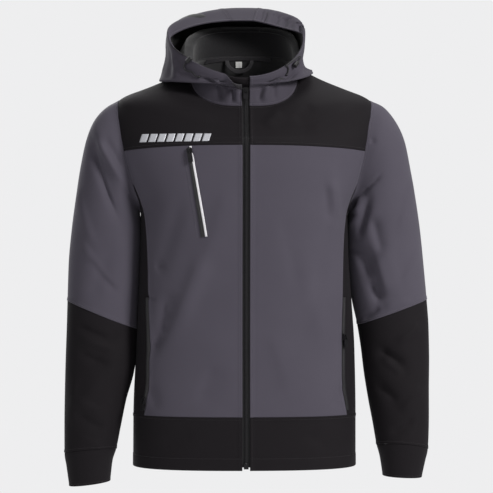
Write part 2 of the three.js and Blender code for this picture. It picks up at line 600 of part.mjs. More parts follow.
function sleeveOval(side, turn, station) {
  const row = sleeveStation[side](station);
  const sign = side === "left" ? 1 : -1;
  const cosine = Math.cos(degrees(turn));
  const sine = Math.sin(degrees(turn));
  const power = 2 / SLEEVE_SQUARE;
  const up = Math.sign(cosine) * Math.pow(Math.abs(cosine), power);
  const forward = Math.sign(sine) * Math.pow(Math.abs(sine), power);
  const x = (row.outX + row.inX) / 2 + (up * (row.outX - row.inX)) / 2;
  const z = (row.outZ + row.inZ) / 2 + (up * (row.outZ - row.inZ)) / 2;
  return new THREE.Vector3(sign * x, row.middle - forward * row.depth, z + Math.max(0, sine) * row.lift);
}

function armholePoint(side, turn) {
  const round = ((turn % 360) + 360) % 360;
  const angle = armholeAngle(round, side);
  return body(side === "left" ? angle : -angle, armholeLevel(round));
}

function plainSleeve(side, turn, station) {
  const point = sleeveOval(side, turn, station);
  const fade = 1 - smoothStep(0, ARMHOLE_FADE, station);
  if (fade === 0) return point;
  const rest = armholePoint(side, turn).sub(sleeveOval(side, turn, 0));
  return point.addScaledVector(rest, fade);
}

function sleeve(side, turn, station) {
  const surface = (a, b) => plainSleeve(side, a, b);
  const point = surface(turn, station);
  const sine = Math.sin(degrees(turn));
  const height = foldHeight(SLEEVE_FOLDS[side], sine >= 0 ? "front" : "back", Math.abs(point.x), point.z);
  if (height === 0) return point;
  const facing = smoothStep(0.1, 0.5, Math.abs(sine));
  const turned = side === "left" ? 1 : -1;
  return point.addScaledVector(surfaceNormal(surface, turn, station, turned), height * facing);
}

function sleeveNode(side, turn, station) {
  const surface = (a, b) => sleeve(side, a, b);
  const inside = Math.min(WRIST_STATION - STEP, Math.max(STEP, station));
  const turned = side === "left" ? 1 : -1;
  return { point: surface(turn, station), normal: surfaceNormal(surface, turn, inside, turned) };
}

// The first ring of a sleeve lies edge to edge with the armhole, one seam away from it.
function armholeNode(side, turn) {
  const sign = side === "left" ? 1 : -1;
  const angle = sign * armholeAngle(turn, side);
  const normal = bodyNormal(angle, armholeLevel(turn));
  const along = armholePoint(side, turn + 1).sub(armholePoint(side, turn - 1));
  const inward = normal.clone().cross(along).multiplyScalar(-sign).normalize();
  const middle = sleeveOval(side, 0, 0).add(sleeveOval(side, 180, 0)).multiplyScalar(0.5);
  const point = armholePoint(side, turn);
  if (inward.dot(middle.clone().sub(point)) < 0) inward.negate();
  return { point: point.addScaledVector(inward, SEAM), normal };
}

function sleeveTube(name, material, side, stations, gapStart, gapEnd) {
  const grid = SLEEVE_TURNS.map((turn) =>
    stations.map((station, j) => {
      if (station === 0) return armholeNode(side, turn);
      const node = sleeveNode(side, turn, station);
      const next = sleeveNode(side, turn, Math.min(WRIST_STATION, station + STEP));
      const down = next.point.clone().sub(node.point).normalize();
      if (j === 0) node.point.addScaledVector(down, gapStart);
      if (j === stations.length - 1) node.point.addScaledVector(down, -gapEnd);
      return node;
    }),
  );
  addWall(name, material, grid, { wrap: true });
}

function buildSleeve(side) {
  sleeveTube("sleeve_upper_" + side, cloth(CHARCOAL), side, UPPER_STATIONS, 0, SEAM / 2);
  sleeveTube("sleeve_lower_" + side, cloth(BLACK), side, LOWER_STATIONS, SEAM / 2, SEAM / 2);
  sleeveTube("cuff_" + side, cloth(BLACK), side, CUFF_STATIONS, SEAM / 2, 0);
}

const hoodRing = tableCurves(HOOD_RINGS, "ring");

// The hood's and collar's middle surface, by the angle round the neck and the place along the cloth.
function plainHood(angle, ring) {
  const row = hoodRing(ring);
  const round = Math.cos(degrees(angle)) > 0 ? HOOD_ROUND_FRONT : 1;
  const point = ringPoint(angle, { ...row, square: HOOD_SQUARE, round });
  if (point.x < 0 && round === 1) {
    const rise = Math.pow(Math.max(0, (point.y - row.middle) / row.back), ARCH_POWER);
    point.z = mix(point.z, mix(row.zRight, row.zBack, rise), row.arch);
  }
  if (point.x < 0 && Math.cos(degrees(angle)) > 0) {
    const share = 1 - smoothStep(PEEL.inner, PEEL.outer, -point.x);
    const along = Math.max(0, ring - COLLAR_TOP) / (RIM_RING - COLLAR_TOP);
    point.z -= PEEL.drop * share * along * along;
    point.y -= PEEL.out * share * along;
  }
  return point;
}

function hood(angle, ring) {
  const point = plainHood(angle, ring);
  const inBand = smoothStep(GATHERS.ringFrom, 8, ring) * (1 - smoothStep(GATHERS.ringTo, RIM_RING, ring));
  const place = (angle + GATHERS.slant * (ring - 8) - GATHERS.from) / (GATHERS.to - GATHERS.from);
  if (inBand === 0 || place <= 0 || place >= 1) return point;
  const wave = 0.5 - 0.5 * Math.cos(2 * Math.PI * GATHERS.count * place);
  const ends = smoothStep(0, 0.12, place) * (1 - smoothStep(0.88, 1, place));
  return point.addScaledVector(surfaceNormal(plainHood, angle, ring, 1), GATHERS.height * wave * ends * inBand);
}

function hoodNode(angle, ring) {
  const inside = Math.min(RIM_RING - RING_STEP, Math.max(RING_STEP, ring));
  const across = hood(angle + 2 * STEP, inside).sub(hood(angle - 2 * STEP, inside));
  const up = hood(angle, inside + RING_STEP).sub(hood(angle, inside - RING_STEP));
  return { point: hood(angle, ring), normal: across.cross(up).normalize() };
}

// Angles at which the yokes' top edges have their points, from the zip round to the zip.
function neckAngles() {
  const start = centreAngle(NECK_LEVEL, 1) + inRadius(45, NECK_LEVEL);
  const front = [];
  for (let i = 0; i <= FRONT_COLUMNS; i += 1) {
    front.push(mix(start, 90 - inRadius(45, NECK_LEVEL), i / FRONT_COLUMNS));
  }
  const back = [];
  for (let i = 1; i < BACK_COLUMNS + 2; i += 1) back.push(mix(90, 270, i / (BACK_COLUMNS + 2)));
  return [...front, ...back, ...front.map((angle) => 360 - angle).reverse()];
}

// The collar's first row lies edge to edge with the yokes, one seam above them.
function neckNode(angle, angles) {
  let i = 0;
  while (i < angles.length - 2 && angle > angles[i + 1]) i += 1;
  const share = Math.min(1, Math.max(0, (angle - angles[i]) / (angles[i + 1] - angles[i])));
  const first = bodyNode(angles[i], NECK_LEVEL);
  const second = bodyNode(angles[i + 1], NECK_LEVEL);
  const point = first.point.lerp(second.point, share);
  const normal = first.normal.lerp(second.normal, share).normalize();
  const below = body(angle, NECK_LEVEL - 1);
  const up = body(angle, NECK_LEVEL).sub(below).normalize();
  return { point: point.addScaledVector(up, SEAM * 0.6), normal };
}

function buildCollarAndHood() {
  const angles = neckAngles();
  const dense = [];
  for (let i = 0; i < angles.length; i += 1) {
    dense.push(angles[i]);
    const parts = angles[i] >= GATHERS.from - 8 && angles[i] < GATHERS.to ? 3 : 1;
    for (let k = 1; k < parts; k += 1) dense.push(mix(angles[i], angles[i + 1], k / parts));
  }
  const seamNode = (angle, ring, sign) => {
    const node = hoodNode(angle, ring);
    if (ring !== COLLAR_TOP) return node;
    const along = hood(angle, ring + 0.1).sub(hood(angle, ring - 0.1)).normalize();
    node.point.addScaledVector(along, (sign * SEAM) / 2);
    return node;
  };
  const collar = dense.map((angle) =>
    COLLAR_STEPS.map((ring) => (ring === 0 ? neckNode(angle, angles) : seamNode(angle, ring, -1))),
  );
  addWall("collar", cloth(HOOD_GREY), collar);
  const pieces = [
    { name: "hood_side_left", from: 0, to: HOOD_SEAM_LEFT },
    { name: "hood_centre", from: HOOD_SEAM_LEFT, to: HOOD_SEAM_RIGHT },
    { name: "hood_side_right", from: HOOD_SEAM_RIGHT, to: 360 },
  ];
  for (const piece of pieces) {
    const inner = dense.filter((angle) => angle > piece.from + 1 && angle < piece.to - 1);
    const columns = [...inner];
    if (piece.from > 0) columns.unshift(piece.from + HOOD_SEAM_TRIM);
    if (piece.to < 360) columns.push(piece.to - HOOD_SEAM_TRIM);
    const grid = columns.map((angle) => HOOD_STEPS.map((ring) => seamNode(angle, ring, 1)));
    addWall(piece.name, cloth(HOOD_GREY), grid);
  }
}

// A point near the front zip, on the body up to the neck and on the collar and hood above it.
function frontNode(x, place) {
  if (place < NECK_LEVEL) return bodyNode(angleAtX(place, x, true), place);
  const row = hoodRing(place);
  const angle = (Math.atan2(x, row.front) * 180) / Math.PI;
  return hoodNode(angle, Math.max(RING_STEP, place));
}

function placesBetween(from, to) {
  const below = [...HEM_LEVELS, ...frontLevels.slice(1), ...yokeLevels.slice(1, -1), -SEAM / 2];
  const above = [RING_STEP, COLLAR_STEPS[1]];
  const inside = [...below, ...above].filter((place) => place > from + 0.04 && place < to - 0.04);
  return [from, ...inside, to];
}

function strip(name, material, xs, places, thickness, offset) {
  const grid = xs.map((x) => places.map((place) => frontNode(x, place)));
  addWall(name, material, grid, { thickness, offset });
}

function buildFrontZip() {
  const behind = -(CLOTH + TAPE.thickness) / 2 - TRIM_GAP;
  for (const side of ["left", "right"]) {
    const sign = side === "left" ? 1 : -1;
    const xs = [sign * TAPE.inner, sign * TAPE.outer].sort((a, b) => a - b);
    const places = placesBetween(TAPE.bottom, TAPE.top);
    strip("zip_tape_" + side, cloth(TRIM_BLACK), xs, places, TAPE.thickness, behind);
  }
  const onTape = behind + (TAPE.thickness + CHAIN.thickness) / 2 + SEAM;
  const chainPlaces = placesBetween(CHAIN.bottom, CHAIN.top);
  strip("zip_chain", hardware(TRIM_BLACK, 0.1), [-CHAIN.half, CHAIN.half], chainPlaces, CHAIN.thickness, onTape);
  const boxOffset = behind + (TAPE.thickness + ZIP_BOX.thickness) / 2 + SEAM;
  const boxPlaces = [ZIP_BOX.bottom, ZIP_BOX.top];
  const boxXs = [-ZIP_BOX.half, ZIP_BOX.half];
  strip("zip_box", hardware(METAL_BLACK, 0.2), boxXs, boxPlaces, ZIP_BOX.thickness, boxOffset);
}

function buildChinGuard() {
  const offset = -(CLOTH + GUARD.thickness) / 2 - TAPE.thickness - 2 * TRIM_GAP;
  const grid = [];
  for (let i = 0; i <= GUARD.columns; i += 1) {
    const angle = mix(GUARD.from, GUARD.to, i / GUARD.columns);
    grid.push(GUARD_RINGS.map((ring) => guardNode(angle, ring)));
  }
  addWall("chin_guard", cloth(BLACK), grid, { thickness: GUARD.thickness, offset });
}

// The guard follows the left front's straight edge, not the right one's turned corner.
function guardNode(angle, ring) {
  const node = hoodNode(Math.abs(angle), ring);
  if (angle < 0) {
    node.point.x *= -1;
    node.normal.x *= -1;
  }
  return node;
}

// The place on the body's front that is seen at x and z.
function frontPlace(x, z) {
  let level = z;
  for (let i = 0; i < 6; i += 1) level += z - plainBody(angleAtX(level, x, true), level).z;
  return { angle: angleAtX(level, x, true), level };
}

function chestStrip(name, material, line) {
  const offset = (CLOTH + line.thickness) / 2 + TRIM_GAP;
  const grid = [-line.half, line.half].map((shift) => {
    const column = [];
    for (let j = 0; j <= CHEST_STEPS; j += 1) {
      const share = 1 - j / CHEST_STEPS;
      const place = frontPlace(mix(line.x0, line.x1, share) + shift, mix(line.z0, line.z1, share));
      column.push(bodyNode(place.angle, place.level));
    }
    return column;
  });
  addWall(name, material, grid, { thickness: line.thickness, offset });
}

// The hand pockets open along the front seams of the side panels.
function pocketCentre(level, side) {
  const sign = side === "left" ? 1 : -1;
  const seam = angleAtX(level, sign * seamX(level), true);
  const point = plainBody(seam, level);
  return seam + (sign * 180 * POCKET_ZIP.shift) / (Math.PI * Math.hypot(point.x, point.y));
}

function buildPocketZip(side) {
  const offset = (CLOTH + POCKET_ZIP.thickness) / 2 + TRIM_GAP;
  const levels = LOWER_LEVELS.filter((level) => level > POCKET_ZIP.bottom && level < POCKET_ZIP.top);
  const rows = [POCKET_ZIP.bottom, ...levels, POCKET_ZIP.top];
  const grid = [-1, 1].map((end) =>
    rows.map((level) => {
      const centre = pocketCentre(level, side);
      const point = plainBody(centre, level);
      const turn = (end * 180 * POCKET_ZIP.half) / (Math.PI * Math.hypot(point.x, point.y));
      return bodyNode(centre + turn, level);
    }),
  );
  addWall("pocket_zip_" + side, cloth(TRIM_BLACK), grid, { thickness: POCKET_ZIP.thickness, offset });
}

const wasm = await Module();
wasm.setup();

function toSolid(geometry) {
  const plain = geometry.index ? geometry.toNonIndexed() : geometry.clone();
  const bare = new THREE.BufferGeometry().setAttribute("position", plain.getAttribute("position"));
  const merged = mergeVertices(bare, 1e-4);
  const vertProperties = merged.attributes.position.array;
  const triVerts = new Uint32Array(merged.index.array);
  return new wasm.Manifold(new wasm.Mesh({ numProp: 3, vertProperties, triVerts }));
}

function joined(first, second) {
  const mesh = toSolid(first).add(toSolid(second)).getMesh();
  const geometry = new THREE.BufferGeometry();
  geometry.setAttribute("position", new THREE.BufferAttribute(mesh.vertProperties, 3));
  geometry.setIndex(new THREE.BufferAttribute(mesh.triVerts, 1));
  return geometry;
}

function roundedOutline(width, length, radius, bottom) {
  const shape = new THREE.Shape();
  const half = width / 2;
  const top = bottom + length;
  shape.moveTo(-half + radius, bottom);
  shape.lineTo(half - radius, bottom);
  shape.absarc(half - radius, bottom + radius, radius, -Math.PI / 2, 0);
  shape.lineTo(half, top - radius);
  shape.absarc(half - radius, top - radius, radius, 0, Math.PI / 2);
  shape.lineTo(-half + radius, top);
  shape.absarc(-half + radius, top - radius, radius, Math.PI / 2, Math.PI);
  shape.lineTo(-half, bottom + radius);
  shape.absarc(-half + radius, bottom + radius, radius, Math.PI, 1.5 * Math.PI);
  return shape;
}

// A slider lies in the plane x and y with its bail standing up in z, and the zip runs along y.
function sliderGeometry() {
  const outline = roundedOutline(SLIDER.width, SLIDER.length, 2.6, -SLIDER.length / 2);
  const plate = new THREE.ExtrudeGeometry(outline, { depth: SLIDER.height, bevelEnabled: false, curveSegments: 2 });
  const halfBail = SLIDER.bailLength / 2;
  const top = SLIDER.height + SLIDER.bailHeight;
  const arch = new THREE.Shape();
  arch.moveTo(-halfBail, SLIDER.height - 0.4);
  arch.lineTo(halfBail, SLIDER.height - 0.4);
  arch.lineTo(halfBail, top - 1.2);
  arch.lineTo(halfBail - 1.2, top);
  arch.lineTo(-halfBail + 1.2, top);
  arch.lineTo(-halfBail, top - 1.2);
  const hole = new THREE.Path();
  const halfHole = BAIL_HOLE.length / 2;
  hole.moveTo(-halfHole, SLIDER.height + 0.1);
  hole.lineTo(-halfHole, SLIDER.height + 0.1 + BAIL_HOLE.height);
  hole.lineTo(halfHole, SLIDER.height + 0.1 + BAIL_HOLE.height);
  hole.lineTo(halfHole, SLIDER.height + 0.1);
  arch.holes.push(hole);
  const bail = new THREE.ExtrudeGeometry(arch, { depth: SLIDER.bailWidth, bevelEnabled: false });
  bail.translate(0, 0, -SLIDER.bailWidth / 2);
  bail.rotateZ(Math.PI / 2);
  bail.rotateY(Math.PI / 2);
  return joined(plate, bail);
}

// A pull hangs towards -y from its bar, which passes through the bail at the middle of the slider.
function pullGeometry(length) {
  const outline = roundedOutline(PULL.width, length, 2.2, PULL.bar / 2 - length);
  const slot = roundedOutline(PULL.slotWidth, PULL.slotLength, 0.8, -PULL.bar / 2 - PULL.slotLength);
  outline.holes.push(slot);
  const plate = new THREE.ExtrudeGeometry(outline, { depth: PULL.thickness, bevelEnabled: false, curveSegments: 2 });
  plate.translate(0, 0, SLIDER.height + 0.5);
  return plate;
}

// Places a slider and its pull on a node of a surface, with the pull hanging down along the cloth.
function addSlider(name, node, lift, pullLength, down) {
  const normal = node.normal.clone();
  const up = down.clone().negate().addScaledVector(normal, down.dot(normal)).normalize();
  const across = up.clone().cross(normal).normalize();
  const group = new THREE.Group();
  group.applyMatrix4(new THREE.Matrix4().makeBasis(across, up, normal));
  group.position.copy(node.point).addScaledVector(normal, lift);
  const slider = new THREE.Mesh(sliderGeometry(), hardware(METAL_BLACK, 0.5));
  slider.name = name + "_slider";
  const pull = new THREE.Mesh(pullGeometry(pullLength), hardware(METAL_BLACK, 0.4));
  pull.name = name + "_pull";
  group.add(slider, pull);
  jacket.add(group);
}

function buildSliders() {
  const straightDown = new THREE.Vector3(0, 0, -1);
  addSlider("zip", frontNode(0, FRONT_SLIDER_PLACE), 0.6, FRONT_PULL, straightDown);
  const chestPlace = frontPlace(CHEST_ZIP.x0 - 0.9, CHEST_SLIDER_Z);
  const chestDown = new THREE.Vector3(CHEST_ZIP.x1 - CHEST_ZIP.x0, 0, CHEST_ZIP.z1 - CHEST_ZIP.z0).normalize();
  const chestNode = bodyNode(chestPlace.angle, chestPlace.level);
  addSlider("chest", chestNode, CLOTH / 2 + TRIM_GAP, CHEST_PULL, chestDown);
  for (const side of ["left", "right"]) {
    const level = POCKET_SLIDERS[side];
    const node = bodyNode(pocketCentre(level, side), level);
    addSlider("pocket_" + side, node, CLOTH / 2 + 2 * TRIM_GAP + POCKET_ZIP.thickness, POCKET_PULL, straightDown);
  }
}

// The tape over the neck seam, inside the back.
function buildNeck() {
  const angles = neckAngles().filter((angle) => angle > NECK_TAPE.from && angle < NECK_TAPE.to);
  const tapeOffset = -(CLOTH + NECK_TAPE.thickness) / 2 - SEAM;
  const rows = [NECK_TAPE.bottom, NECK_TAPE.bottom / 2, -0.6];
  const tape = angles.map((angle) => rows.map((level) => bodyNode(angle, level)));
  addWall("neck_tape", cloth(TRIM_BLACK), tape, { thickness: NECK_TAPE.thickness, offset: tapeOffset });
  const labelOffset = -(CLOTH + NECK_LABEL.thickness) / 2 - 2.5 * SEAM;
  const label = [NECK_LABEL.x + NECK_LABEL.half, NECK_LABEL.x - NECK_LABEL.half].map((x) =>
    [NECK_LABEL.bottom, NECK_LABEL.top].map((level) => {
      const angle = angleAtX(level, Math.abs(x), false);
      return bodyNode(x > 0 ? angle : 360 - angle, level);
    }),
  );
  addWall("neck_label", cloth(LABEL_WHITE), label, { thickness: NECK_LABEL.thickness, offset: labelOffset });
  const loop = [];
  for (let i = 0; i <= HANGER.steps; i += 1) {
    const turn = Math.PI * (1 + i / HANGER.steps);
    const column = [HANGER.inner, HANGER.outer].map((reach) => {
      const x = HANGER.x + reach * Math.cos(turn);
      const sunk = HANGER.drop - (HANGER.outer - reach);
      const neck = body(x > 0 ? angleAtX(-3, x, false) : 360 + angleAtX(-3, x, false), -3);
      const gap = CLOTH / 2 + NECK_TAPE.thickness + SEAM + HANGER.thickness / 2;
      const point = new THREE.Vector3(x, neck.y - gap, HANGER.z + sunk * Math.sin(turn));
      return { point, normal: new THREE.Vector3(0, -1, 0) };
    });
    loop.push(column);
  }
  addWall("hanger_loop", cloth(TRIM_BLACK), loop, { thickness: HANGER.thickness });
}

function tube(points, diameter, steps) {
  const curve = new THREE.CatmullRomCurve3(points);
  const section = new THREE.Shape();
  const sides = 8;
  for (let i = 0; i < sides; i += 1) {
    const turn = (2 * Math.PI * (i + 0.5)) / sides;
    const x = (diameter / 2) * Math.cos(turn);
    const y = (diameter / 2) * Math.sin(turn);
    if (i === 0) section.moveTo(x, y);
    else section.lineTo(x, y);
  }
  section.closePath();
  return new THREE.ExtrudeGeometry(section, { steps, bevelEnabled: false, extrudePath: curve });
}

// The cord hangs out of its lock, which lies against the hood above it.
function buildHoodCord(side) {
  const points = CORD_ROUTES[side].map((row) => {
    const node = hoodNode(row.angle, row.ring);
    return node.point.addScaledVector(node.normal, row.lift);
  });
  addPiece("hood_cord_" + side, tube(points, CORD_DIAMETER, CORD_STEPS), cloth(TRIM_BLACK));
  const half = LOCK.length / 2;
  const profile = [
    new THREE.Vector2(0, -half),
    new THREE.Vector2(LOCK.radius - LOCK.lip, -half),
    new THREE.Vector2(LOCK.radius, -half + LOCK.lip),
    new THREE.Vector2(LOCK.radius, half - LOCK.lip),
    new THREE.Vector2(LOCK.radius - LOCK.lip, half),
    new THREE.Vector2(0, half),
  ];
  const barrel = new THREE.LatheGeometry(profile, LOCK.sides);
  const lock = addPiece("cord_lock_" + side, barrel, hardware(METAL_BLACK, 0.1));
  const axis = points[1].clone().sub(points[0]).normalize();
  lock.quaternion.setFromUnitVectors(new THREE.Vector3(0, 1, 0), axis);
  lock.position.copy(points[0]).addScaledVector(axis, -half - LOCK.gap);
}

buildFronts();
buildBack();
buildSidePanel("left");
buildSidePanel("right");
buildSleeve("left");
buildSleeve("right");
buildCollarAndHood();
buildFrontZip();
buildChinGuard();
chestStrip("chest_zip", cloth(TRIM_BLACK), CHEST_ZIP);
chestStrip("chest_piping", cloth(PIPING_WHITE), CHEST_PIPING);
buildPocketZip("left");
buildPocketZip("right");
buildSliders();
buildNeck();
buildHoodCord("left");
buildHoodCord("right");

export default jacket;
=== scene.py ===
import math

import bpy
import numpy as np
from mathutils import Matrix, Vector


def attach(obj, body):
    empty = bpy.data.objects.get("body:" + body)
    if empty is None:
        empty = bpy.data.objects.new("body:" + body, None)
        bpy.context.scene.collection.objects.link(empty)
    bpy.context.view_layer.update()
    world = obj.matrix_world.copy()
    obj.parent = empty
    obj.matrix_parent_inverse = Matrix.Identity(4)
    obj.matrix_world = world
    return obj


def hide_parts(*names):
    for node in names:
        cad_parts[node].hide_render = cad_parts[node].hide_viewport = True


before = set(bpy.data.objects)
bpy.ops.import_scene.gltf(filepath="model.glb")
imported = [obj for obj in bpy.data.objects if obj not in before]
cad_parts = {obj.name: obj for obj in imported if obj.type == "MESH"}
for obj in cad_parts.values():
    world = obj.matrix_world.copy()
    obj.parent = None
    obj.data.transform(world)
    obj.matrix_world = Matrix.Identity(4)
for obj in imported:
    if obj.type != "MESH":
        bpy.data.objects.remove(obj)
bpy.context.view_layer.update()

MM = 0.001


def table(text):
    """A table of named columns as a dict of arrays."""
    rows = [line.split() for line in text.strip().splitlines()]
    values = np.array(rows[1:], float)
    return {name: values[:, i] for i, name in enumerate(rows[0])}


BODY_RINGS = table("""
level right left front back dipFront dipBack square round
-709 199.5 198 118 112 0 0 2.6 1
-616 199 198 117 110 0 0 2.6 1
-500 194 196 112 104 0 0 2.6 1
-404 190 190 113 102 0 0 2.6 1
-325 187 185 118 106 0 0 2.6 1
-262 186 184 123 111 0 0 2.6 1
-208 207 206 124 115 4 0 2.5 1
-155 229 226 121 117 12.7 2 2.4 1
-110 237 233 111 115 -15 8 2.3 0.6
-85 236 233 105 110 -31 15 2.25 0.4
-70 232 230.5 102 106 -39 19 2.2 0.3
-62 229 228.5 100 103 -43.5 21 2.2 0.27
-56 224.5 224.5 98 101 -47 23 2.2 0.25
-50 215.5 215.5 96.5 98 -51 24.5 2.2 0.21
-44 202 202 95 94 -54.5 26.5 2.17 0.2
-40 190.5 191 94 91 -57 28 2.15 0.2
-30 164.5 165 91 85 -62 30 2.1 0.25
-12 122 120 85 76 -68 31 2.15 0.6
0 97 94 80 72 -71 31 2.3 1
""")
SIDE_SEAM = table("""
level x
-709 180
-616 178
-596 175
-546 169
-472 169
-408 171
-352 172
-300 174
-262 178
-237 185
-207.9 197.5
""")
HOOD_RINGS = table("""
ring right left middle front back zFront zRight zLeft zBack arch
0 97 94 0 80 72 -71 0 0 31 0
1 93 87 0 80 72 -38.5 34 33 76 0
2 105 95 0 82 84 -36 42 42 86 0
3 130 101 0 84 104 -34 -3 3 42 0
4 154 123 0 86 122 -32 -21 -1.5 -7 0
5 144 108 0 87 136 -29 -1 7 6 0
6 138 104 0 88 131 -27 28 28 55 0
7 140 107 0 89 108 -24.5 56 52 101 0.15
8 138 108 -2 87 64 -22 71 72 118 0.5
9 134 104 -14 74 34 -19 55 60 91 1
""")
SLEEVES = {
    "left": table("""
station outX outZ inX inZ depth middle lift
0 224 -56 184 -262 55 0 0
1 246 -65.5 191 -254 58 0 0
2 268.5 -90 193.5 -259 61 1 0
3 286.5 -127 191 -276 64 2 0
4 298 -181 188.3 -304 66 3 0
5 307 -232 188.3 -334 66 4 0
6 315 -287 190.3 -368 65 5 0
7 321.5 -350 194 -410 62 5 0
8 327 -413 204 -458 59 3 0
9 330 -463 210 -498 57 -2 0
10 330.5 -515 215 -542 55 -7 1
11 329.5 -570 222 -588 52 -12 2
12 329 -625 230 -632 49 -17 4
13 326.5 -681 237 -673 45 -22 9
14 322 -700 242 -692 40 -24 4
15 315 -730 247.5 -727 36 -25 0
"""),
    "right": table("""
station outX outZ inX inZ depth middle lift
0 224.5 -56 186 -262 55 0 0
1 248 -69 192.5 -254 58 0 0
2 269 -92 195 -259 61 1 0
3 283 -125 192.5 -276 64 2 0
4 294 -175 190 -304 66 3 0
5 302 -227 190.3 -334 66 4 0
6 310 -287 191.8 -368 65 5 0
7 315.5 -348 193.6 -412 62 5 0
8 317.5 -415 196 -466 59 3 0
9 318.5 -463 197.8 -507 57 -2 0
10 320 -517 201 -546 55 -8 1
11 321 -572 213 -590 52 -14 2
12 321.5 -628 222 -634 49 -19 4
13 321 -686 231 -679 45 -24 6
14 317.5 -709 237 -698 40 -26 3
15 312.5 -744 241.5 -735 36 -27 0
"""),
}
BODY_FOLDS = {
    "front": table("""
x0 z0 x1 z1 width height
-135 -412 -152 -474 13 -5
-150 -470 -166 -506 11 -4
-70 -330 -122 -462 18 3.5
-118 -250 -150 -355 16 -3.5
150 -195 156 -280 12 3.5
96 -330 136 -480 20 3
150 -300 118 -420 16 -3
"""),
    "back": table("""
x0 z0 x1 z1 width height
-60 -250 -130 -420 20 4
75 -240 128 -400 18 4
-30 -420 -95 -560 22 -4
40 -440 100 -560 20 -3.5
"""),
}
SLEEVE_FOLDS = {
    "left": {
        "front": table("""
x0 z0 x1 z1 width height
217 -232 202 -300 9 -5
212 -330 238 -412 14 -8
240 -300 262 -385 16 4
236 -500 282 -538 13 -5
232 -560 268 -600 12 -3
"""),
        "back": table("""
x0 z0 x1 z1 width height
262 -150 222 -270 16 -5
236 -370 292 -410 14 -5
240 -480 290 -530 14 4
"""),
    },
    "right": {
        "front": table("""
x0 z0 x1 z1 width height
258 -124 212 -216 11 4.5
270 -132 222 -272 11 -4.5
240 -330 268 -400 15 -3.5
226 -478 270 -520 14 -4
262 -560 300 -610 14 3
"""),
        "back": table("""
x0 z0 x1 z1 width height
255 -150 222 -262 15 -5
238 -380 290 -425 14 4.5
235 -505 285 -545 14 -4
"""),
    },
}
CORD_ROUTES = {
    "right": table("""
angle ring lift
303.5 7.35 5.5
301.6 6.75 5.2
300.6 6.3 4.4
301.6 5.98 3.7
303.9 5.9 3.3
306.2 6 3.1
308.2 5.75 3.1
309.7 5.45 3
311.2 5.33 2.9
313.4 5.4 2.7
"""),
    "left": table("""
angle ring lift
57 7.6 5.5
59.3 7.65 5.3
61.5 7.9 4.8
62.6 8.35 4.2
61.8 8.8 3.7
59.4 8.97 3.3
56 8.98 3.1
52 8.98 3
48.6 8.85 3
47 8.3 3
46.6 7.6 2.9
46.4 7 2.8
45.9 6.6 2.8
45.2 6.2 2.7
"""),
}

# Creases too fine for the solids: a bent line through three places as seen from the front or back,
# its width, and its height, below 0 for a trough.
BODY_CREASES = {
    "front": table("""
x0 z0 x1 z1 x2 z2 width height
-137 -419 -144 -446 -150 -470 7 -2.6
-150 -470 -158 -488 -167 -497 6 -2.2
-134 -412 -141 -440 -146 -462 5 1.8
-178 -407 -168 -408 -157 -412 4 -1.4
-145 -345 -152 -352 -160 -356 8 -1.6
148 -198 152 -235 157 -275 8 2
139 -205 142 -240 147 -280 8 -1.6
62 -78 46 -92 31 -110 9 1.2
196 -71 150 -92 97 -119 10 1.4
120 -66 100 -84 84 -98 9 -1
-70 -325 -98 -390 -122 -462 15 1.4
-30 -205 -45 -280 -75 -350 20 1.2
60 -250 85 -330 100 -420 20 -1.2
40 -460 66 -520 80 -590 18 1
-50 -520 -70 -560 -82 -600 16 -1
170 -560 160 -580 155 -606 8 -1.2
-172 -560 -160 -585 -158 -608 8 -1.2
100 -640 120 -660 150 -668 12 -0.8
-90 -640 -120 -655 -150 -662 12 -0.8
"""),
    "back": table("""
x0 z0 x1 z1 x2 z2 width height
-150 -215 -120 -260 -70 -300 9 2
150 -210 118 -262 66 -306 9 2.2
-160 -245 -128 -300 -88 -350 9 -1.8
158 -240 130 -305 96 -352 10 -1.8
-20 -330 -60 -400 -110 -450 14 2
30 -350 64 -420 104 -470 13 1.8
-120 -480 -80 -520 -30 -548 12 -1.8
126 -500 84 -536 36 -560 12 -1.6
-110 -560 -70 -590 -20 -604 10 1.4
0 -40 -10 -90 -6 -140 18 1.4
-120 -60 -80 -84 -30 -92 12 1.2
122 -60 84 -88 40 -98 12 -1.2
"""),
}
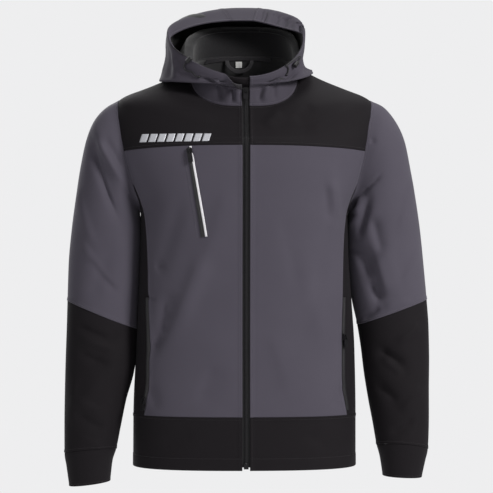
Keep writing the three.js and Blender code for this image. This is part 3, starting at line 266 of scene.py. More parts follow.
SLEEVE_CREASES = {
    "right": {
        "front": table("""
x0 z0 x1 z1 x2 z2 width height
262 -124 247 -160 213 -216 5 2.4
273 -133 259 -190 224 -270 5 -2.8
250 -118 236 -150 214 -180 6 -1.8
300 -200 290 -260 262 -330 9 1.4
292 -300 270 -350 232 -392 8 1.6
280 -330 256 -372 222 -402 7 -2
303 -452 276 -470 236 -482 7 -2
300 -470 268 -492 226 -500 6 1.8
298 -500 270 -520 232 -530 7 -2
306 -580 282 -600 250 -612 8 1.8
300 -610 274 -630 244 -640 7 -1.8
300 -650 276 -664 250 -668 5 1.4
296 -540 306 -590 304 -640 8 1.2
"""),
        "back": table("""
x0 z0 x1 z1 x2 z2 width height
270 -130 250 -180 222 -240 7 2.6
258 -120 240 -170 218 -215 6 -2.4
300 -330 272 -372 236 -404 7 2.2
296 -360 268 -396 230 -420 7 -2.4
300 -400 270 -432 226 -450 6 2
302 -480 270 -500 232 -512 7 -2.2
300 -560 276 -580 240 -590 7 1.8
"""),
    },
    "left": {
        "front": table("""
x0 z0 x1 z1 x2 z2 width height
245 -188 222 -208 196 -232 3.2 -2.2
222 -134 227 -131 231 -129 4 -1.6
198 -234 194 -242 190 -250 5 -3
208 -226 202 -246 196 -262 5 3.2
224 -262 232 -300 246 -336 9 -3.4
209 -240 200 -268 186 -288 5 2.6
214 -238 208 -270 198 -300 5 -3.2
186 -314 206 -335 222 -378 8 -3.4
222 -378 230 -400 238 -420 7 -3
230 -330 240 -370 252 -404 7 2.4
209 -452 226 -438 242 -426 5 -2.6
244 -428 268 -420 300 -414 5 1.6
234 -498 258 -516 284 -530 6 -2.4
238 -512 262 -532 280 -546 6 2
230 -560 250 -580 272 -592 7 -2
300 -180 292 -240 270 -300 9 1.4
310 -300 296 -350 276 -390 8 1.4
312 -450 296 -476 262 -488 7 1.8
316 -560 300 -590 270 -610 8 1.6
300 -620 280 -640 252 -650 7 -1.8
"""),
        "back": table("""
x0 z0 x1 z1 x2 z2 width height
274 -130 254 -180 222 -244 7 2.6
262 -122 244 -170 222 -215 6 -2.4
304 -320 276 -366 236 -396 7 2.2
300 -352 270 -392 230 -416 7 -2.4
306 -396 276 -430 232 -446 6 2
306 -470 276 -492 236 -506 7 -2.2
306 -550 280 -572 246 -584 7 1.8
"""),
    },
}
# Soft creases of the hood and collar, by angle and ring, with their width in mm.
HOOD_CREASES = table("""
a0 r0 a1 r1 a2 r2 width height
335 4.3 334 4.6 333 5.2 5 -3.6
331 4.2 329 4.8 327 5.4 6 2.4
325 4.1 322 5 318 5.8 9 -2.6
295 4.4 291 5.6 288 7 10 1.8
290 4.2 284 5.4 280 7.6 11 -2
272 4.3 266 5.6 262 7.2 12 1.8
345 0.1 344 0.5 342 0.95 4 -2.4
338 0.1 336 0.5 334 0.95 4 2
331 0.15 328 0.5 326 0.95 5 -2.6
350 0.1 350 0.4 351 0.8 4 1.8
24 4.3 30 4.9 38 5.7 5 -3.4
30 4.2 38 4.8 47 5.6 7 2.6
44 4.1 52 5 62 5.8 9 -2
62 4.3 68 5.4 76 6.6 11 2
84 4.2 88 5.4 92 6.8 12 -2
16 0.15 20 0.5 23 0.95 5 -2.6
23 0.1 26 0.5 29 0.95 5 2
36 0.1 38 0.5 38 0.95 6 -2
120 5 126 6 132 7 12 1.8
150 4.5 148 5.6 150 6.8 12 -1.6
205 4.6 210 5.6 206 7 13 1.8
232 4.8 236 5.8 230 7 12 -1.8
250 5 246 6.4 240 7.6 12 1.6
""")
# Soft folds of the lining inside the hood.
LINING_CREASES = table("""
a0 r0 a1 r1 a2 r2 width height
208 8.8 202 9 192 8.2 9 2.2
150 8.7 146 8.2 140 7.4 8 1.6
236 8.8 244 8 250 7 9 -1.8
176 8.4 178 7.6 180 6.6 10 1.4
""")

CLOTH = 2.0
SHOULDER_LEVEL = -56.0
ARMHOLE_BOTTOM = -262.0
ARMHOLE_DEPTH = 55.0
HEM_TOP = -616.0
HEM_BOTTOM = -709.0
YOKE_TURN = 87.0
CORNER_TURN = 118.0
SIDE_BASE = -290.0
ZIP_HALF = 6.5
STEP = 0.25
SLEEVE_SQUARE = 2.15
ARMHOLE_FADE = 3.5
HOOD_SQUARE = 2.3
HOOD_ROUND_FRONT = 0.7
ARCH_POWER = 1.5
HOOD_SEAMS = (157.5, 212.5)
COLLAR_TOP = 1.0
RIM = 9.0
LEAN = {"top": -250.0, "bottom_left": -420.0, "bottom_right": -560.0, "reach": 4.0, "reach_high": 6.0}
CREASE_DEPTH = 2.1
GATHER = {"from": 100.0, "to": 156.0, "count": 8, "height": 4.2, "slant": 9.0}
PEEL = {"inner": 12.0, "outer": 38.0, "drop": 25.0, "out": 14.0}


def rad(a):
    return np.radians(a)


def mix(a, b, t):
    return a + (b - a) * t


def smooth(a, b, x):
    t = np.clip((x - a) / (b - a), 0, 1)
    return t * t * (3 - 2 * t)


def curve(x, y):
    """A smooth curve through points that never swings past them."""
    rise = np.diff(y) / np.diff(x)
    slope = np.concatenate([rise[:1], np.zeros(len(x) - 2), rise[-1:]])
    product = rise[:-1] * rise[1:]
    total = np.where(product > 0, rise[:-1] + rise[1:], 1)
    slope[1:-1] = np.where(product > 0, 2 * product / total, 0)

    def at(v):
        v = np.clip(v, x[0], x[-1])
        i = np.clip(np.searchsorted(x, v) - 1, 0, len(x) - 2)
        w = x[i + 1] - x[i]
        t = (v - x[i]) / w
        t2, t3 = t * t, t * t * t
        return (
            y[i] * (2 * t3 - 3 * t2 + 1)
            + slope[i] * w * (t3 - 2 * t2 + t)
            + y[i + 1] * (3 * t2 - 2 * t3)
            + slope[i + 1] * w * (t3 - t2)
        )

    return at


def curves(rows, key):
    made = {name: curve(rows[key], rows[name]) for name in rows if name != key}
    return lambda v: {name: f(v) for name, f in made.items()}


def unit(v):
    return v / np.maximum(np.linalg.norm(v, axis=-1, keepdims=True), 1e-9)


def ring_point(angle, r):
    """A point of a ring in the direction of an angle, 0 at the front and 90 at the wearer's left."""
    s, c = np.sin(rad(angle)), np.cos(rad(angle))
    side = np.where(s >= 0, r["left"], r["right"])
    depth = np.where(c >= 0, r["front"], r["back"])
    k = r["square"]
    radius = (np.abs(s / side) ** k + np.abs(c / depth) ** k) ** (-1 / k)
    share = np.abs(c)
    dip = mix(share**1.5, 1 - (1 - share) ** 1.75, r["round"])
    z_side = np.where(s >= 0, r["zLeft"], r["zRight"])
    z_end = np.where(c >= 0, r["zFront"], r["zBack"])
    return np.stack([radius * s, r["middle"] - radius * c, mix(z_side, z_end, dip)], -1)


def fold_height(folds, x, z):
    """How far the large folds of one face move a point."""
    height = np.zeros(np.broadcast(x, z).shape)
    for x0, z0, x1, z1, w, h in zip(*(folds[k] for k in ("x0", "z0", "x1", "z1", "width", "height"))):
        dx, dz = x1 - x0, z1 - z0
        n = math.hypot(dx, dz)
        along = ((x - x0) * dx + (z - z0) * dz) / (n * n)
        across = ((x - x0) * dz - (z - z0) * dx) / n
        fade = smooth(-0.35, 0.25, along) * (1 - smooth(0.75, 1.35, along))
        height = height + h * fade * np.exp(-((across / w) ** 2))
    return height


def crease_height(rows, x, z, names, aspect=1.0):
    """The fine creases: bent lines, sharper on one side, that fade at both ends."""
    height = np.zeros(np.broadcast(x, z).shape)
    t = np.linspace(0, 1, 9)
    for i in range(len(rows["width"])):
        p = [np.array([rows[a][i] * (aspect if k % 2 == 0 else 1.0)]) for k, a in enumerate(names)]
        px = (1 - t) ** 2 * p[0] + 2 * t * (1 - t) * p[2] + t * t * p[4]
        pz = (1 - t) ** 2 * p[1] + 2 * t * (1 - t) * p[3] + t * t * p[5]
        w, h = rows["width"][i], rows["height"][i]
        near = np.full(height.shape, 1e9)
        along = np.zeros(height.shape)
        turn = np.zeros(height.shape)
        for j in range(8):
            dx, dz = px[j + 1] - px[j], pz[j + 1] - pz[j]
            n2 = dx * dx + dz * dz
            s = np.clip(((x - px[j]) * dx + (z - pz[j]) * dz) / n2, 0, 1)
            ex, ez = x - px[j] - s * dx, z - pz[j] - s * dz
            d = np.hypot(ex, ez)
            hit = d < near
            near = np.where(hit, d, near)
            along = np.where(hit, (j + s) / 8, along)
            turn = np.where(hit, np.sign(ex * dz - ez * dx), turn)
        fade = smooth(0, 0.3, along) * (1 - smooth(0.7, 1, along))
        width = w * np.where(turn > 0, 0.75, 1.35)
        height = height + h * CREASE_DEPTH * fade * np.exp(-((near / width) ** 2))
    return height


def normal_of(f, a, b, turn=1.0, ea=STEP, eb=STEP):
    across = f(a + ea, b) - f(a - ea, b)
    up = f(a, b + eb) - f(a, b - eb)
    return unit(np.cross(across, up)) * turn


body_row = curves(BODY_RINGS, "level")


def body_ring(level):
    r = body_row(level)
    r.update(zFront=level + r["dipFront"], zBack=level + r["dipBack"], zRight=level, zLeft=level, middle=0 * level)
    return r


def plain_body(angle, level):
    angle, level = np.broadcast_arrays(np.asarray(angle, float), np.asarray(level, float))
    return ring_point(angle, body_ring(level))


XZ = ("x0", "z0", "x1", "z1", "x2", "z2")
AR = ("a0", "r0", "a1", "r1", "a2", "r2")


def body(angle, level, fine=True):
    p = plain_body(angle, level)
    c = np.cos(rad(np.broadcast_to(angle, p.shape[:-1])))
    front = fold_height(BODY_FOLDS["front"], p[..., 0], p[..., 2])
    back = fold_height(BODY_FOLDS["back"], p[..., 0], p[..., 2])
    if fine:
        front = front + crease_height(BODY_CREASES["front"], p[..., 0], p[..., 2], XZ)
        back = back + crease_height(BODY_CREASES["back"], p[..., 0], p[..., 2], XZ)
    height = np.where(c >= 0, front, back) * smooth(0.1, 0.45, np.abs(c))
    n = normal_of(plain_body, angle, np.clip(level, HEM_BOTTOM + STEP, -STEP))
    return p + n * height[..., None]


def angle_at_x(level, x, front):
    r = body_ring(level)
    side = np.where(x >= 0, r["left"], r["right"])
    depth = r["front"] if front else r["back"]
    share = np.minimum(1, np.abs(x) / side)
    y = depth * (1 - share ** r["square"]) ** (1 / r["square"])
    a = np.degrees(np.arctan2(np.abs(x), y))
    a = a if front else 180 - a
    return np.where(x >= 0, a, -a)


def armhole_level(turn):
    return (SHOULDER_LEVEL + ARMHOLE_BOTTOM) / 2 + (SHOULDER_LEVEL - ARMHOLE_BOTTOM) / 2 * np.cos(rad(turn))


def armhole_angle(turn, side):
    r = body_ring(armhole_level(turn))
    y = ARMHOLE_DEPTH * np.abs(np.sin(rad(turn)))
    depth = np.where(turn <= 180, r["front"], r["back"])
    x = r[side] * (1 - (y / depth) ** r["square"]) ** (1 / r["square"])
    a = np.degrees(np.arctan2(x, y))
    return np.where(turn <= 180, a, 180 - a)


YOKE_LEVEL = float(armhole_level(YOKE_TURN))
CORNER_LEVEL = float(armhole_level(CORNER_TURN))
seam_x = curve(SIDE_SEAM["level"], SIDE_SEAM["x"])


def panel_edge(level, side, front):
    """The outer edge of a front or back panel: side seam, then armhole, then shoulder seam."""
    sign = 1 if side == "left" else -1
    low = np.abs(angle_at_x(level, sign * seam_x(level), front))
    share = (level - (SHOULDER_LEVEL + ARMHOLE_BOTTOM) / 2) / ((SHOULDER_LEVEL - ARMHOLE_BOTTOM) / 2)
    turn = np.degrees(np.arccos(np.clip(share, -1, 1)))
    hole = armhole_angle(turn if front else 360 - turn, side)
    return np.where(level > SHOULDER_LEVEL - 1e-6, 90, np.where(level < CORNER_LEVEL, low, hole))


def centre_angle(level, sign):
    return angle_at_x(level, sign * ZIP_HALF + 0 * level, True)


sleeve_row = {side: curves(SLEEVES[side], "station") for side in SLEEVES}


def sleeve_oval(side, turn, station):
    r = sleeve_row[side](station)
    sign = 1 if side == "left" else -1
    c, s = np.cos(rad(turn)), np.sin(rad(turn))
    up = np.sign(c) * np.abs(c) ** (2 / SLEEVE_SQUARE)
    forward = np.sign(s) * np.abs(s) ** (2 / SLEEVE_SQUARE)
    x = (r["outX"] + r["inX"]) / 2 + up * (r["outX"] - r["inX"]) / 2
    z = (r["outZ"] + r["inZ"]) / 2 + up * (r["outZ"] - r["inZ"]) / 2 + np.maximum(0, s) * r["lift"]
    return np.stack([sign * x, r["middle"] - forward * r["depth"], z], -1)


def armhole_point(side, turn):
    turn = np.mod(turn, 360)
    a = armhole_angle(turn, side)
    return body(a if side == "left" else -a, armhole_level(turn))


def plain_sleeve(side, turn, station):
    turn, station = np.broadcast_arrays(np.asarray(turn, float), np.asarray(station, float))
    p = sleeve_oval(side, turn, station)
    fade = 1 - smooth(0, ARMHOLE_FADE, station)
    rest = armhole_point(side, turn) - sleeve_oval(side, turn, 0 * station)
    return p + rest * fade[..., None]


def sleeve(side, turn, station):
    surface = lambda a, b: plain_sleeve(side, a, b)
    p = surface(turn, station)
    inner = np.maximum(0, -np.cos(rad(np.broadcast_to(turn, p.shape[:-1])))) ** 2
    reach = mix(LEAN["reach"], LEAN["reach_high"], smooth(LEAN["top"] - 70, LEAN["top"] - 10, p[..., 2]))
    bottom = LEAN["bottom_" + side]
    lean = reach * inner * smooth(LEAN["top"] + 30, LEAN["top"], p[..., 2]) * smooth(bottom, bottom + 60, p[..., 2])
    p[..., 0] -= lean if side == "left" else -lean
    s = np.sin(rad(np.broadcast_to(turn, p.shape[:-1])))
    x, z = np.abs(p[..., 0]), p[..., 2]
    faces = {}
    for face in ("front", "back"):
        faces[face] = fold_height(SLEEVE_FOLDS[side][face], x, z)
        faces[face] = faces[face] + crease_height(SLEEVE_CREASES[side][face], x, z, XZ)
    height = np.where(s >= 0, faces["front"], faces["back"]) * smooth(0.1, 0.5, np.abs(s))
    n = normal_of(surface, turn, np.clip(station, STEP, 15 - STEP), 1 if side == "left" else -1)
    return p + n * height[..., None]


hood_row = curves(HOOD_RINGS, "ring")


def plain_hood(angle, ring):
    angle, ring = np.broadcast_arrays(np.asarray(angle, float), np.asarray(ring, float))
    r = hood_row(ring)
    c = np.cos(rad(angle))
    r.update(square=HOOD_SQUARE, round=np.where(c > 0, HOOD_ROUND_FRONT, 1.0))
    p = ring_point(angle, r)
    rise = np.maximum(0, (p[..., 1] - r["middle"]) / r["back"]) ** ARCH_POWER
    arched = p[..., 2] + (r["zRight"] + (r["zBack"] - r["zRight"]) * rise - p[..., 2]) * r["arch"]
    p[..., 2] = np.where((p[..., 0] < 0) & (c <= 0), arched, p[..., 2])
    share = np.where((p[..., 0] < 0) & (c > 0), 1 - smooth(PEEL["inner"], PEEL["outer"], -p[..., 0]), 0)
    along = np.maximum(0, ring - COLLAR_TOP) / (RIM - COLLAR_TOP)
    p[..., 2] -= PEEL["drop"] * share * along * along
    p[..., 1] -= PEEL["out"] * share * along
    return p


HOOD_ASPECT = 2.2
RING_MM = 26.0


def hood(angle, ring):
    p = plain_hood(angle, ring)
    angle, ring = np.broadcast_arrays(np.asarray(angle, float), np.asarray(ring, float))
    band = smooth(8.1, 8.35, ring) * (1 - smooth(8.85, RIM, ring))
    place = (angle + GATHER["slant"] * (ring - 8) - GATHER["from"]) / (GATHER["to"] - GATHER["from"])
    bent = place + 0.018 * np.sin(place * 23) + 0.012 * np.sin(place * 41 + 1)
    wave = (0.5 - 0.5 * np.cos(2 * np.pi * GATHER["count"] * bent)) ** 1.3
    ends = smooth(0, 0.12, place) * (1 - smooth(0.88, 1, place))
    size = 1 + 0.35 * np.sin(place * 17 + 0.6)
    height = -GATHER["height"] * (1 - wave) ** 1.4 * ends * band * size
    rows = dict(HOOD_CREASES)
    for k in ("r0", "r1", "r2"):
        rows[k] = rows[k] * RING_MM
    height = height + crease_height(rows, angle * HOOD_ASPECT, ring * RING_MM, AR, HOOD_ASPECT)
    n = normal_of(plain_hood, angle, np.clip(ring, 0.05, RIM - 0.05), 1, 0.5, 0.05)
    return p + n * height[..., None]


def front_node(x, place):
    """A point and normal near the front zip: on the body, then on the collar and hood above it."""
    x, place = np.broadcast_arrays(np.asarray(x, float), np.asarray(place, float))
    low = np.minimum(place, -STEP)
    a = angle_at_x(low, x, True)
    below = body(a, np.minimum(place, 0), fine=False)
    below_n = normal_of(lambda p, q: body(p, q, fine=False), a, np.clip(low, HEM_BOTTOM + STEP, -STEP))
    ring = np.clip(place, 0.05, RIM - 0.05)
    angle = np.degrees(np.arctan2(x, hood_row(ring)["front"]))
    above = hood(angle, ring)
    above_n = normal_of(hood, angle, ring, 1, 0.5, 0.04)
    at = (place < 0)[..., None]
    return np.where(at, below, above), np.where(at, below_n, above_n)


# Camera, at the photograph's angle.
SENSOR = 36
PICTURE_PIXELS = 493
PIXEL_METRES = 0.0018


def add_camera():
    data = bpy.data.cameras.new("camera")
    cam = bpy.data.objects.new("camera", data)
    bpy.context.scene.collection.objects.link(cam)
    bpy.context.scene.camera = cam
    distance, yaw = 3.6, math.radians(-1.3)
    data.sensor_width = SENSOR
    data.lens = SENSOR / 2 / (0.5 * PICTURE_PIXELS * PIXEL_METRES / distance)
    data.clip_start, data.clip_end = 0.1, 60
    back = Vector((math.sin(yaw), -math.cos(yaw), 0))
    cam.location = Vector((0.0032, 0, -0.318)) + back * distance
    cam.rotation_mode = "QUATERNION"
    cam.rotation_quaternion = (-back).to_track_quat("-Z", "Y")


# Materials. Every pattern is worked out from the pieces' own cloth coordinates, in metres.
class Nodes:
    def __init__(self, name):
        self.material = bpy.data.materials.new(name)
        self.material.use_nodes = True
        self.tree = self.material.node_tree
        self.shader = self.tree.nodes["Principled BSDF"]

    def add(self, kind, **values):
        node = self.tree.nodes.new(kind)
        for key, value in values.items():
            if hasattr(node, key):
                setattr(node, key, value)
            else:
                node.inputs[key.replace("_", " ")].default_value = value
        return node

    def link(self, a, out, b, into):
        self.tree.links.new(a.outputs[out], b.inputs[into])

    def sockets(self, **values):
        for key, value in values.items():
            self.shader.inputs[key.replace("_", " ")].default_value = value

    def tint(self, factor, out, dark, light):
        """A base colour that runs from dark to light with the factor."""
        tone = self.add("ShaderNodeMix", data_type="RGBA")
        tone.inputs[6].default_value = dark
        tone.inputs[7].default_value = light
        self.link(factor, out, tone, 0)
        self.link(tone, 2, self.shader, "Base Color")

    def relief(self, height, out, strength, distance):
        lift = self.add("ShaderNodeBump", Strength=strength, Distance=distance)
        self.link(height, out, lift, "Height")
        self.link(lift, "Normal", self.shader, "Normal")


BAND_SCALE = 0.31416  # the scale of a wave pattern whose bands are a metre apart


def srgb(r, g, b):
    return tuple(c / 12.92 if c <= 0.04045 else ((c + 0.055) / 1.055) ** 2.4
                 for c in (r / 255, g / 255, b / 255)) + (1,)


def woven(name, dark, light, pitch=0.0009, bump=0.25, rough=0.8, sheen=0.25, fleck=0.35):
    """Stretch-woven outer cloth: a fine crossed weave, a slight melange and a soft sheen."""
    m = Nodes(name)
    coords = m.add("ShaderNodeTexCoord")
    scale = BAND_SCALE / pitch
    warp = m.add("ShaderNodeTexWave", wave_type="BANDS", bands_direction="X", Scale=scale, Distortion=0.6)
    weft = m.add("ShaderNodeTexWave", wave_type="BANDS", bands_direction="Y", Scale=scale, Distortion=0.6)
    cross = m.add("ShaderNodeMath", operation="MULTIPLY")
    melange = m.add("ShaderNodeTexNoise", Scale=900.0, Detail=3.0, Roughness=0.6)
    cloudy = m.add("ShaderNodeTexNoise", Scale=9.0, Detail=3.0, Roughness=0.5)
    for node in (warp, weft, melange):
        m.link(coords, "UV", node, "Vector")
    m.link(coords, "Object", cloudy, "Vector")
    m.link(warp, "Fac", cross, 0)
    m.link(weft, "Fac", cross, 1)
    blend = m.add("ShaderNodeMix", data_type="FLOAT")
    blend.inputs[0].default_value = fleck
    m.link(cloudy, "Fac", blend, 2)
    m.link(melange, "Fac", blend, 3)
    m.tint(blend, 0, dark, light)
    height = m.add("ShaderNodeMath", operation="MULTIPLY_ADD")
    height.inputs[1].default_value = 0.4
    m.link(melange, "Fac", height, 0)
    m.link(cross, 0, height, 2)
    m.relief(height, 0, bump, 0.00012)
    m.sockets(Roughness=rough, Sheen_Weight=sheen, Sheen_Roughness=0.5, Specular_IOR_Level=0.22)
    m.shader.inputs["Sheen Tint"].default_value = (0.8, 0.8, 0.86, 1)
    return m.material


def fleece(name, dark, light):
    m = Nodes(name)
    coords = m.add("ShaderNodeTexCoord")
    pile = m.add("ShaderNodeTexNoise", Scale=1500.0, Detail=4.0, Roughness=0.7)
    tufts = m.add("ShaderNodeTexVoronoi", Scale=420.0)
    m.link(coords, "UV", pile, "Vector")
    m.link(coords, "UV", tufts, "Vector")
    m.tint(pile, "Fac", dark, light)
    total = m.add("ShaderNodeMath", operation="ADD")
    m.link(pile, "Fac", total, 0)
    m.link(tufts, "Distance", total, 1)
    m.relief(total, 0, 0.5, 0.0006)
    m.sockets(Roughness=0.95, Sheen_Weight=0.35, Sheen_Roughness=0.6, Specular_IOR_Level=0.15)
    return m.material


def ribbed(name, dark, light, pitch=0.0011, direction="Y", rough=0.6, sheen=0.1, bump=0.6):
    """Tape, webbing or cord cover with cross ribs."""
    m = Nodes(name)
    coords = m.add("ShaderNodeTexCoord")
    ribs = m.add("ShaderNodeTexWave", wave_type="BANDS", bands_direction=direction,
                 Scale=BAND_SCALE / pitch, Distortion=0.4)
    grain = m.add("ShaderNodeTexNoise", Scale=1800.0, Detail=2.0)
    m.link(coords, "UV", ribs, "Vector")
    m.link(coords, "UV", grain, "Vector")
    m.tint(ribs, "Fac", dark, light)
    total = m.add("ShaderNodeMath", operation="MULTIPLY_ADD")
    total.inputs[1].default_value = 0.3
    m.link(grain, "Fac", total, 0)
    m.link(ribs, "Fac", total, 2)
    m.relief(total, 0, bump, 0.0002)
    m.sockets(Roughness=rough, Sheen_Weight=sheen, Specular_IOR_Level=0.35)
    return m.material


def moulded(name, dark, light, rough, metal=0.0, coat=0.0):
    """Moulded plastic or painted cast metal, with slight wear in its finish."""
    m = Nodes(name)
    coords = m.add("ShaderNodeTexCoord")
    grain = m.add("ShaderNodeTexNoise", Scale=700.0, Detail=4.0)
    wear = m.add("ShaderNodeTexNoise", Scale=160.0, Detail=3.0)
    m.link(coords, "Object", grain, "Vector")
    m.link(coords, "Object", wear, "Vector")
    m.tint(wear, "Fac", dark, light)
    gloss = m.add("ShaderNodeMapRange")
    gloss.inputs["To Min"].default_value = rough - 0.08
    gloss.inputs["To Max"].default_value = rough + 0.1
    m.link(grain, "Fac", gloss, "Value")
    m.link(gloss, "Result", m.shader, "Roughness")
    m.relief(grain, "Fac", 0.12, 0.0001)
    m.sockets(Metallic=metal, Coat_Weight=coat, Coat_Roughness=0.25)
    return m.material


GREY = woven("softshell_grey", srgb(72, 68, 79), srgb(86, 82, 93), sheen=0.12)
BLACK = woven("softshell_black", srgb(17, 13, 17), srgb(25, 21, 25), sheen=0.03)
HOOD = woven("softshell_hood", srgb(62, 58, 68), srgb(75, 71, 81), sheen=0.12)
LINING = fleece("fleece_lining", srgb(14, 13, 16), srgb(24, 23, 27))
TAPE = ribbed("zip_tape", srgb(22, 21, 23), srgb(34, 33, 36))
WEBBING = ribbed("webbing", srgb(30, 29, 32), srgb(52, 50, 54), pitch=0.0016, direction="X")
BRAID = ribbed("braided_cord", srgb(18, 18, 20), srgb(44, 43, 47), pitch=0.0012, direction="DIAGONAL", bump=0.9)
PIPING = woven("light_piping", srgb(232, 230, 234), srgb(250, 249, 252), rough=0.5, sheen=0.0)
LABEL = woven("blank_label", srgb(226, 226, 224), srgb(246, 246, 244), rough=0.7, sheen=0.05)
REFLECTIVE = moulded("reflective_film", srgb(196, 197, 204), srgb(216, 217, 223), 0.42, 0.15)
TEETH = moulded("zip_teeth", srgb(24, 23, 25), srgb(40, 39, 42), 0.4)
METAL = moulded("painted_metal", srgb(26, 25, 27), srgb(46, 45, 48), 0.34, 0.55, 0.2)
LOCK = moulded("lock_plastic", srgb(20, 20, 22), srgb(36, 35, 38), 0.38)
THREAD_GREY = ribbed("thread_grey", srgb(86, 82, 92), srgb(112, 108, 118), pitch=0.0004, rough=0.55)
THREAD_BLACK = ribbed("thread_black", srgb(34, 30, 34), srgb(54, 50, 54), pitch=0.0004, rough=0.55)


def add_mesh(name, verts, faces, materials, slots=None, uv=None, smooth_faces=True):
    """verts in millimetres; uv holds one place for each vertex, in metres."""
    mesh = bpy.data.meshes.new(name)
    mesh.from_pydata((np.asarray(verts, float) * MM).tolist(), [],
                     faces.tolist() if hasattr(faces, "tolist") else faces)
    for material in materials:
        mesh.materials.append(material)
    count = len(mesh.polygons)
    if slots is not None:
        mesh.polygons.foreach_set("material_index", np.asarray(slots, np.int32))
    mesh.polygons.foreach_set("use_smooth", np.full(count, smooth_faces))
    if uv is not None:
        layer = mesh.uv_layers.new(name="cloth")
        index = np.empty(len(mesh.loops), np.int32)
        mesh.loops.foreach_get("vertex_index", index)
        layer.data.foreach_set("uv", np.asarray(uv, float)[index].ravel())
    mesh.update()
    obj = bpy.data.objects.new(name, mesh)
    bpy.context.scene.collection.objects.link(obj)
    return obj


def finish_piece(obj, nodes=(), rides="shell"):
    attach(obj, rides)
    if nodes:
        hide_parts(*nodes)
    return obj


# Grids. A patch is a surface over u and v from 0 to 1; its rows and columns stand at set distances
# from its edges, in millimetres, so that seams and stitch lines keep their real sizes.
EDGE = [0, 0.12, 0.35, 0.7, 1.1, 1.7, 2.6, 3.4, 4.0, 4.6, 5.4, 7]
STITCH_AT = 8  # the place of the topstitch in EDGE


def arc_marks(points, marks0, marks1, step):
    """For lines of points along the first axis: the parameter at set distances from both ends."""
    grid = np.linspace(0, 1, points.shape[0])
    s = np.concatenate([np.zeros((1, points.shape[1])),
                        np.cumsum(np.linalg.norm(np.diff(points, axis=0), axis=-1), 0)])
    total = s[-1]
    m0, m1 = np.asarray(marks0, float), np.asarray(marks1, float)
    middle = max(2, int(math.ceil((total.mean() - m0[-1] - m1[-1]) / step)))
    out = []
    for k in range(points.shape[1]):
        t = total[k]
        fit = min(1, 0.42 * t / max(m0[-1], m1[-1], 1e-6))
        a, b = m0 * fit, m1 * fit
        d = np.concatenate([a, np.linspace(a[-1], t - b[-1], middle + 1)[1:-1], t - b[::-1]])
        out.append(np.interp(d, s[:, k], grid))
    return np.array(out).T


def patch(surface, u0=EDGE, u1=EDGE, v0=EDGE, v1=EDGE, step=5.0, samples=81, pins=()):
    """The places of a grid. Each pin names a side and the v of a corner on it that gets a row of its own."""
    g = np.linspace(0, 1, samples)
    p = surface(g[:, None], g[None, :])
    pu = arc_marks(p, u0, u1, step)
    pv = arc_marks(p.transpose(1, 0, 2), v0, v1, step)
    for side, place in pins:
        end = -1 if side == "u1" else 0
        k = int(np.argmin(np.abs(pv[:, end] - place)))
        shift = (place - pv[k, end]) * np.maximum(0, 1 - np.abs(np.arange(len(pv)) - k) / 5)
        pv = pv + shift[:, None] * (smooth(0.8, 1, g) if end else 1 - smooth(0, 0.2, g))[None]
    u = np.repeat(pu[:, samples // 2][:, None], pv.shape[0], 1)
    v = np.zeros_like(u)
    for _ in range(3):
        for j in range(v.shape[1]):
            v[:, j] = np.interp(u[:, j], g, pv[j])
        for i in range(u.shape[0]):
            u[i] = np.interp(v[i], g, pu[i])
    return u, v


def tube_patch(surface, around, v0, v1, step):
    """A closed tube: evenly spaced round it, with set distances from both ends."""
    g = np.linspace(0, 1, 81)
    turns = np.arange(around) / around
    p = surface(np.linspace(0, 1, 49)[:, None], g[None, :])
    pv = arc_marks(p.transpose(1, 0, 2), v0, v1, step)
    u = np.repeat(turns[:, None], pv.shape[0], 1)
    v = np.stack([np.interp(turns, np.linspace(0, 1, 49), pv[j]) for j in range(pv.shape[0])], 1)
    return u, v


def grid_normals(mid, wrap):
    if wrap:
        du = np.roll(mid, -1, 0) - np.roll(mid, 1, 0)
    else:
        du = np.gradient(mid, axis=0)
    return unit(np.cross(du, np.gradient(mid, axis=1)))


def lengths(mid, axis):
    d = np.linalg.norm(np.diff(mid, axis=axis), axis=-1)
    pad = [(0, 0), (0, 0)]
    pad[axis] = (1, 0)
    return np.cumsum(np.pad(d, pad), axis)


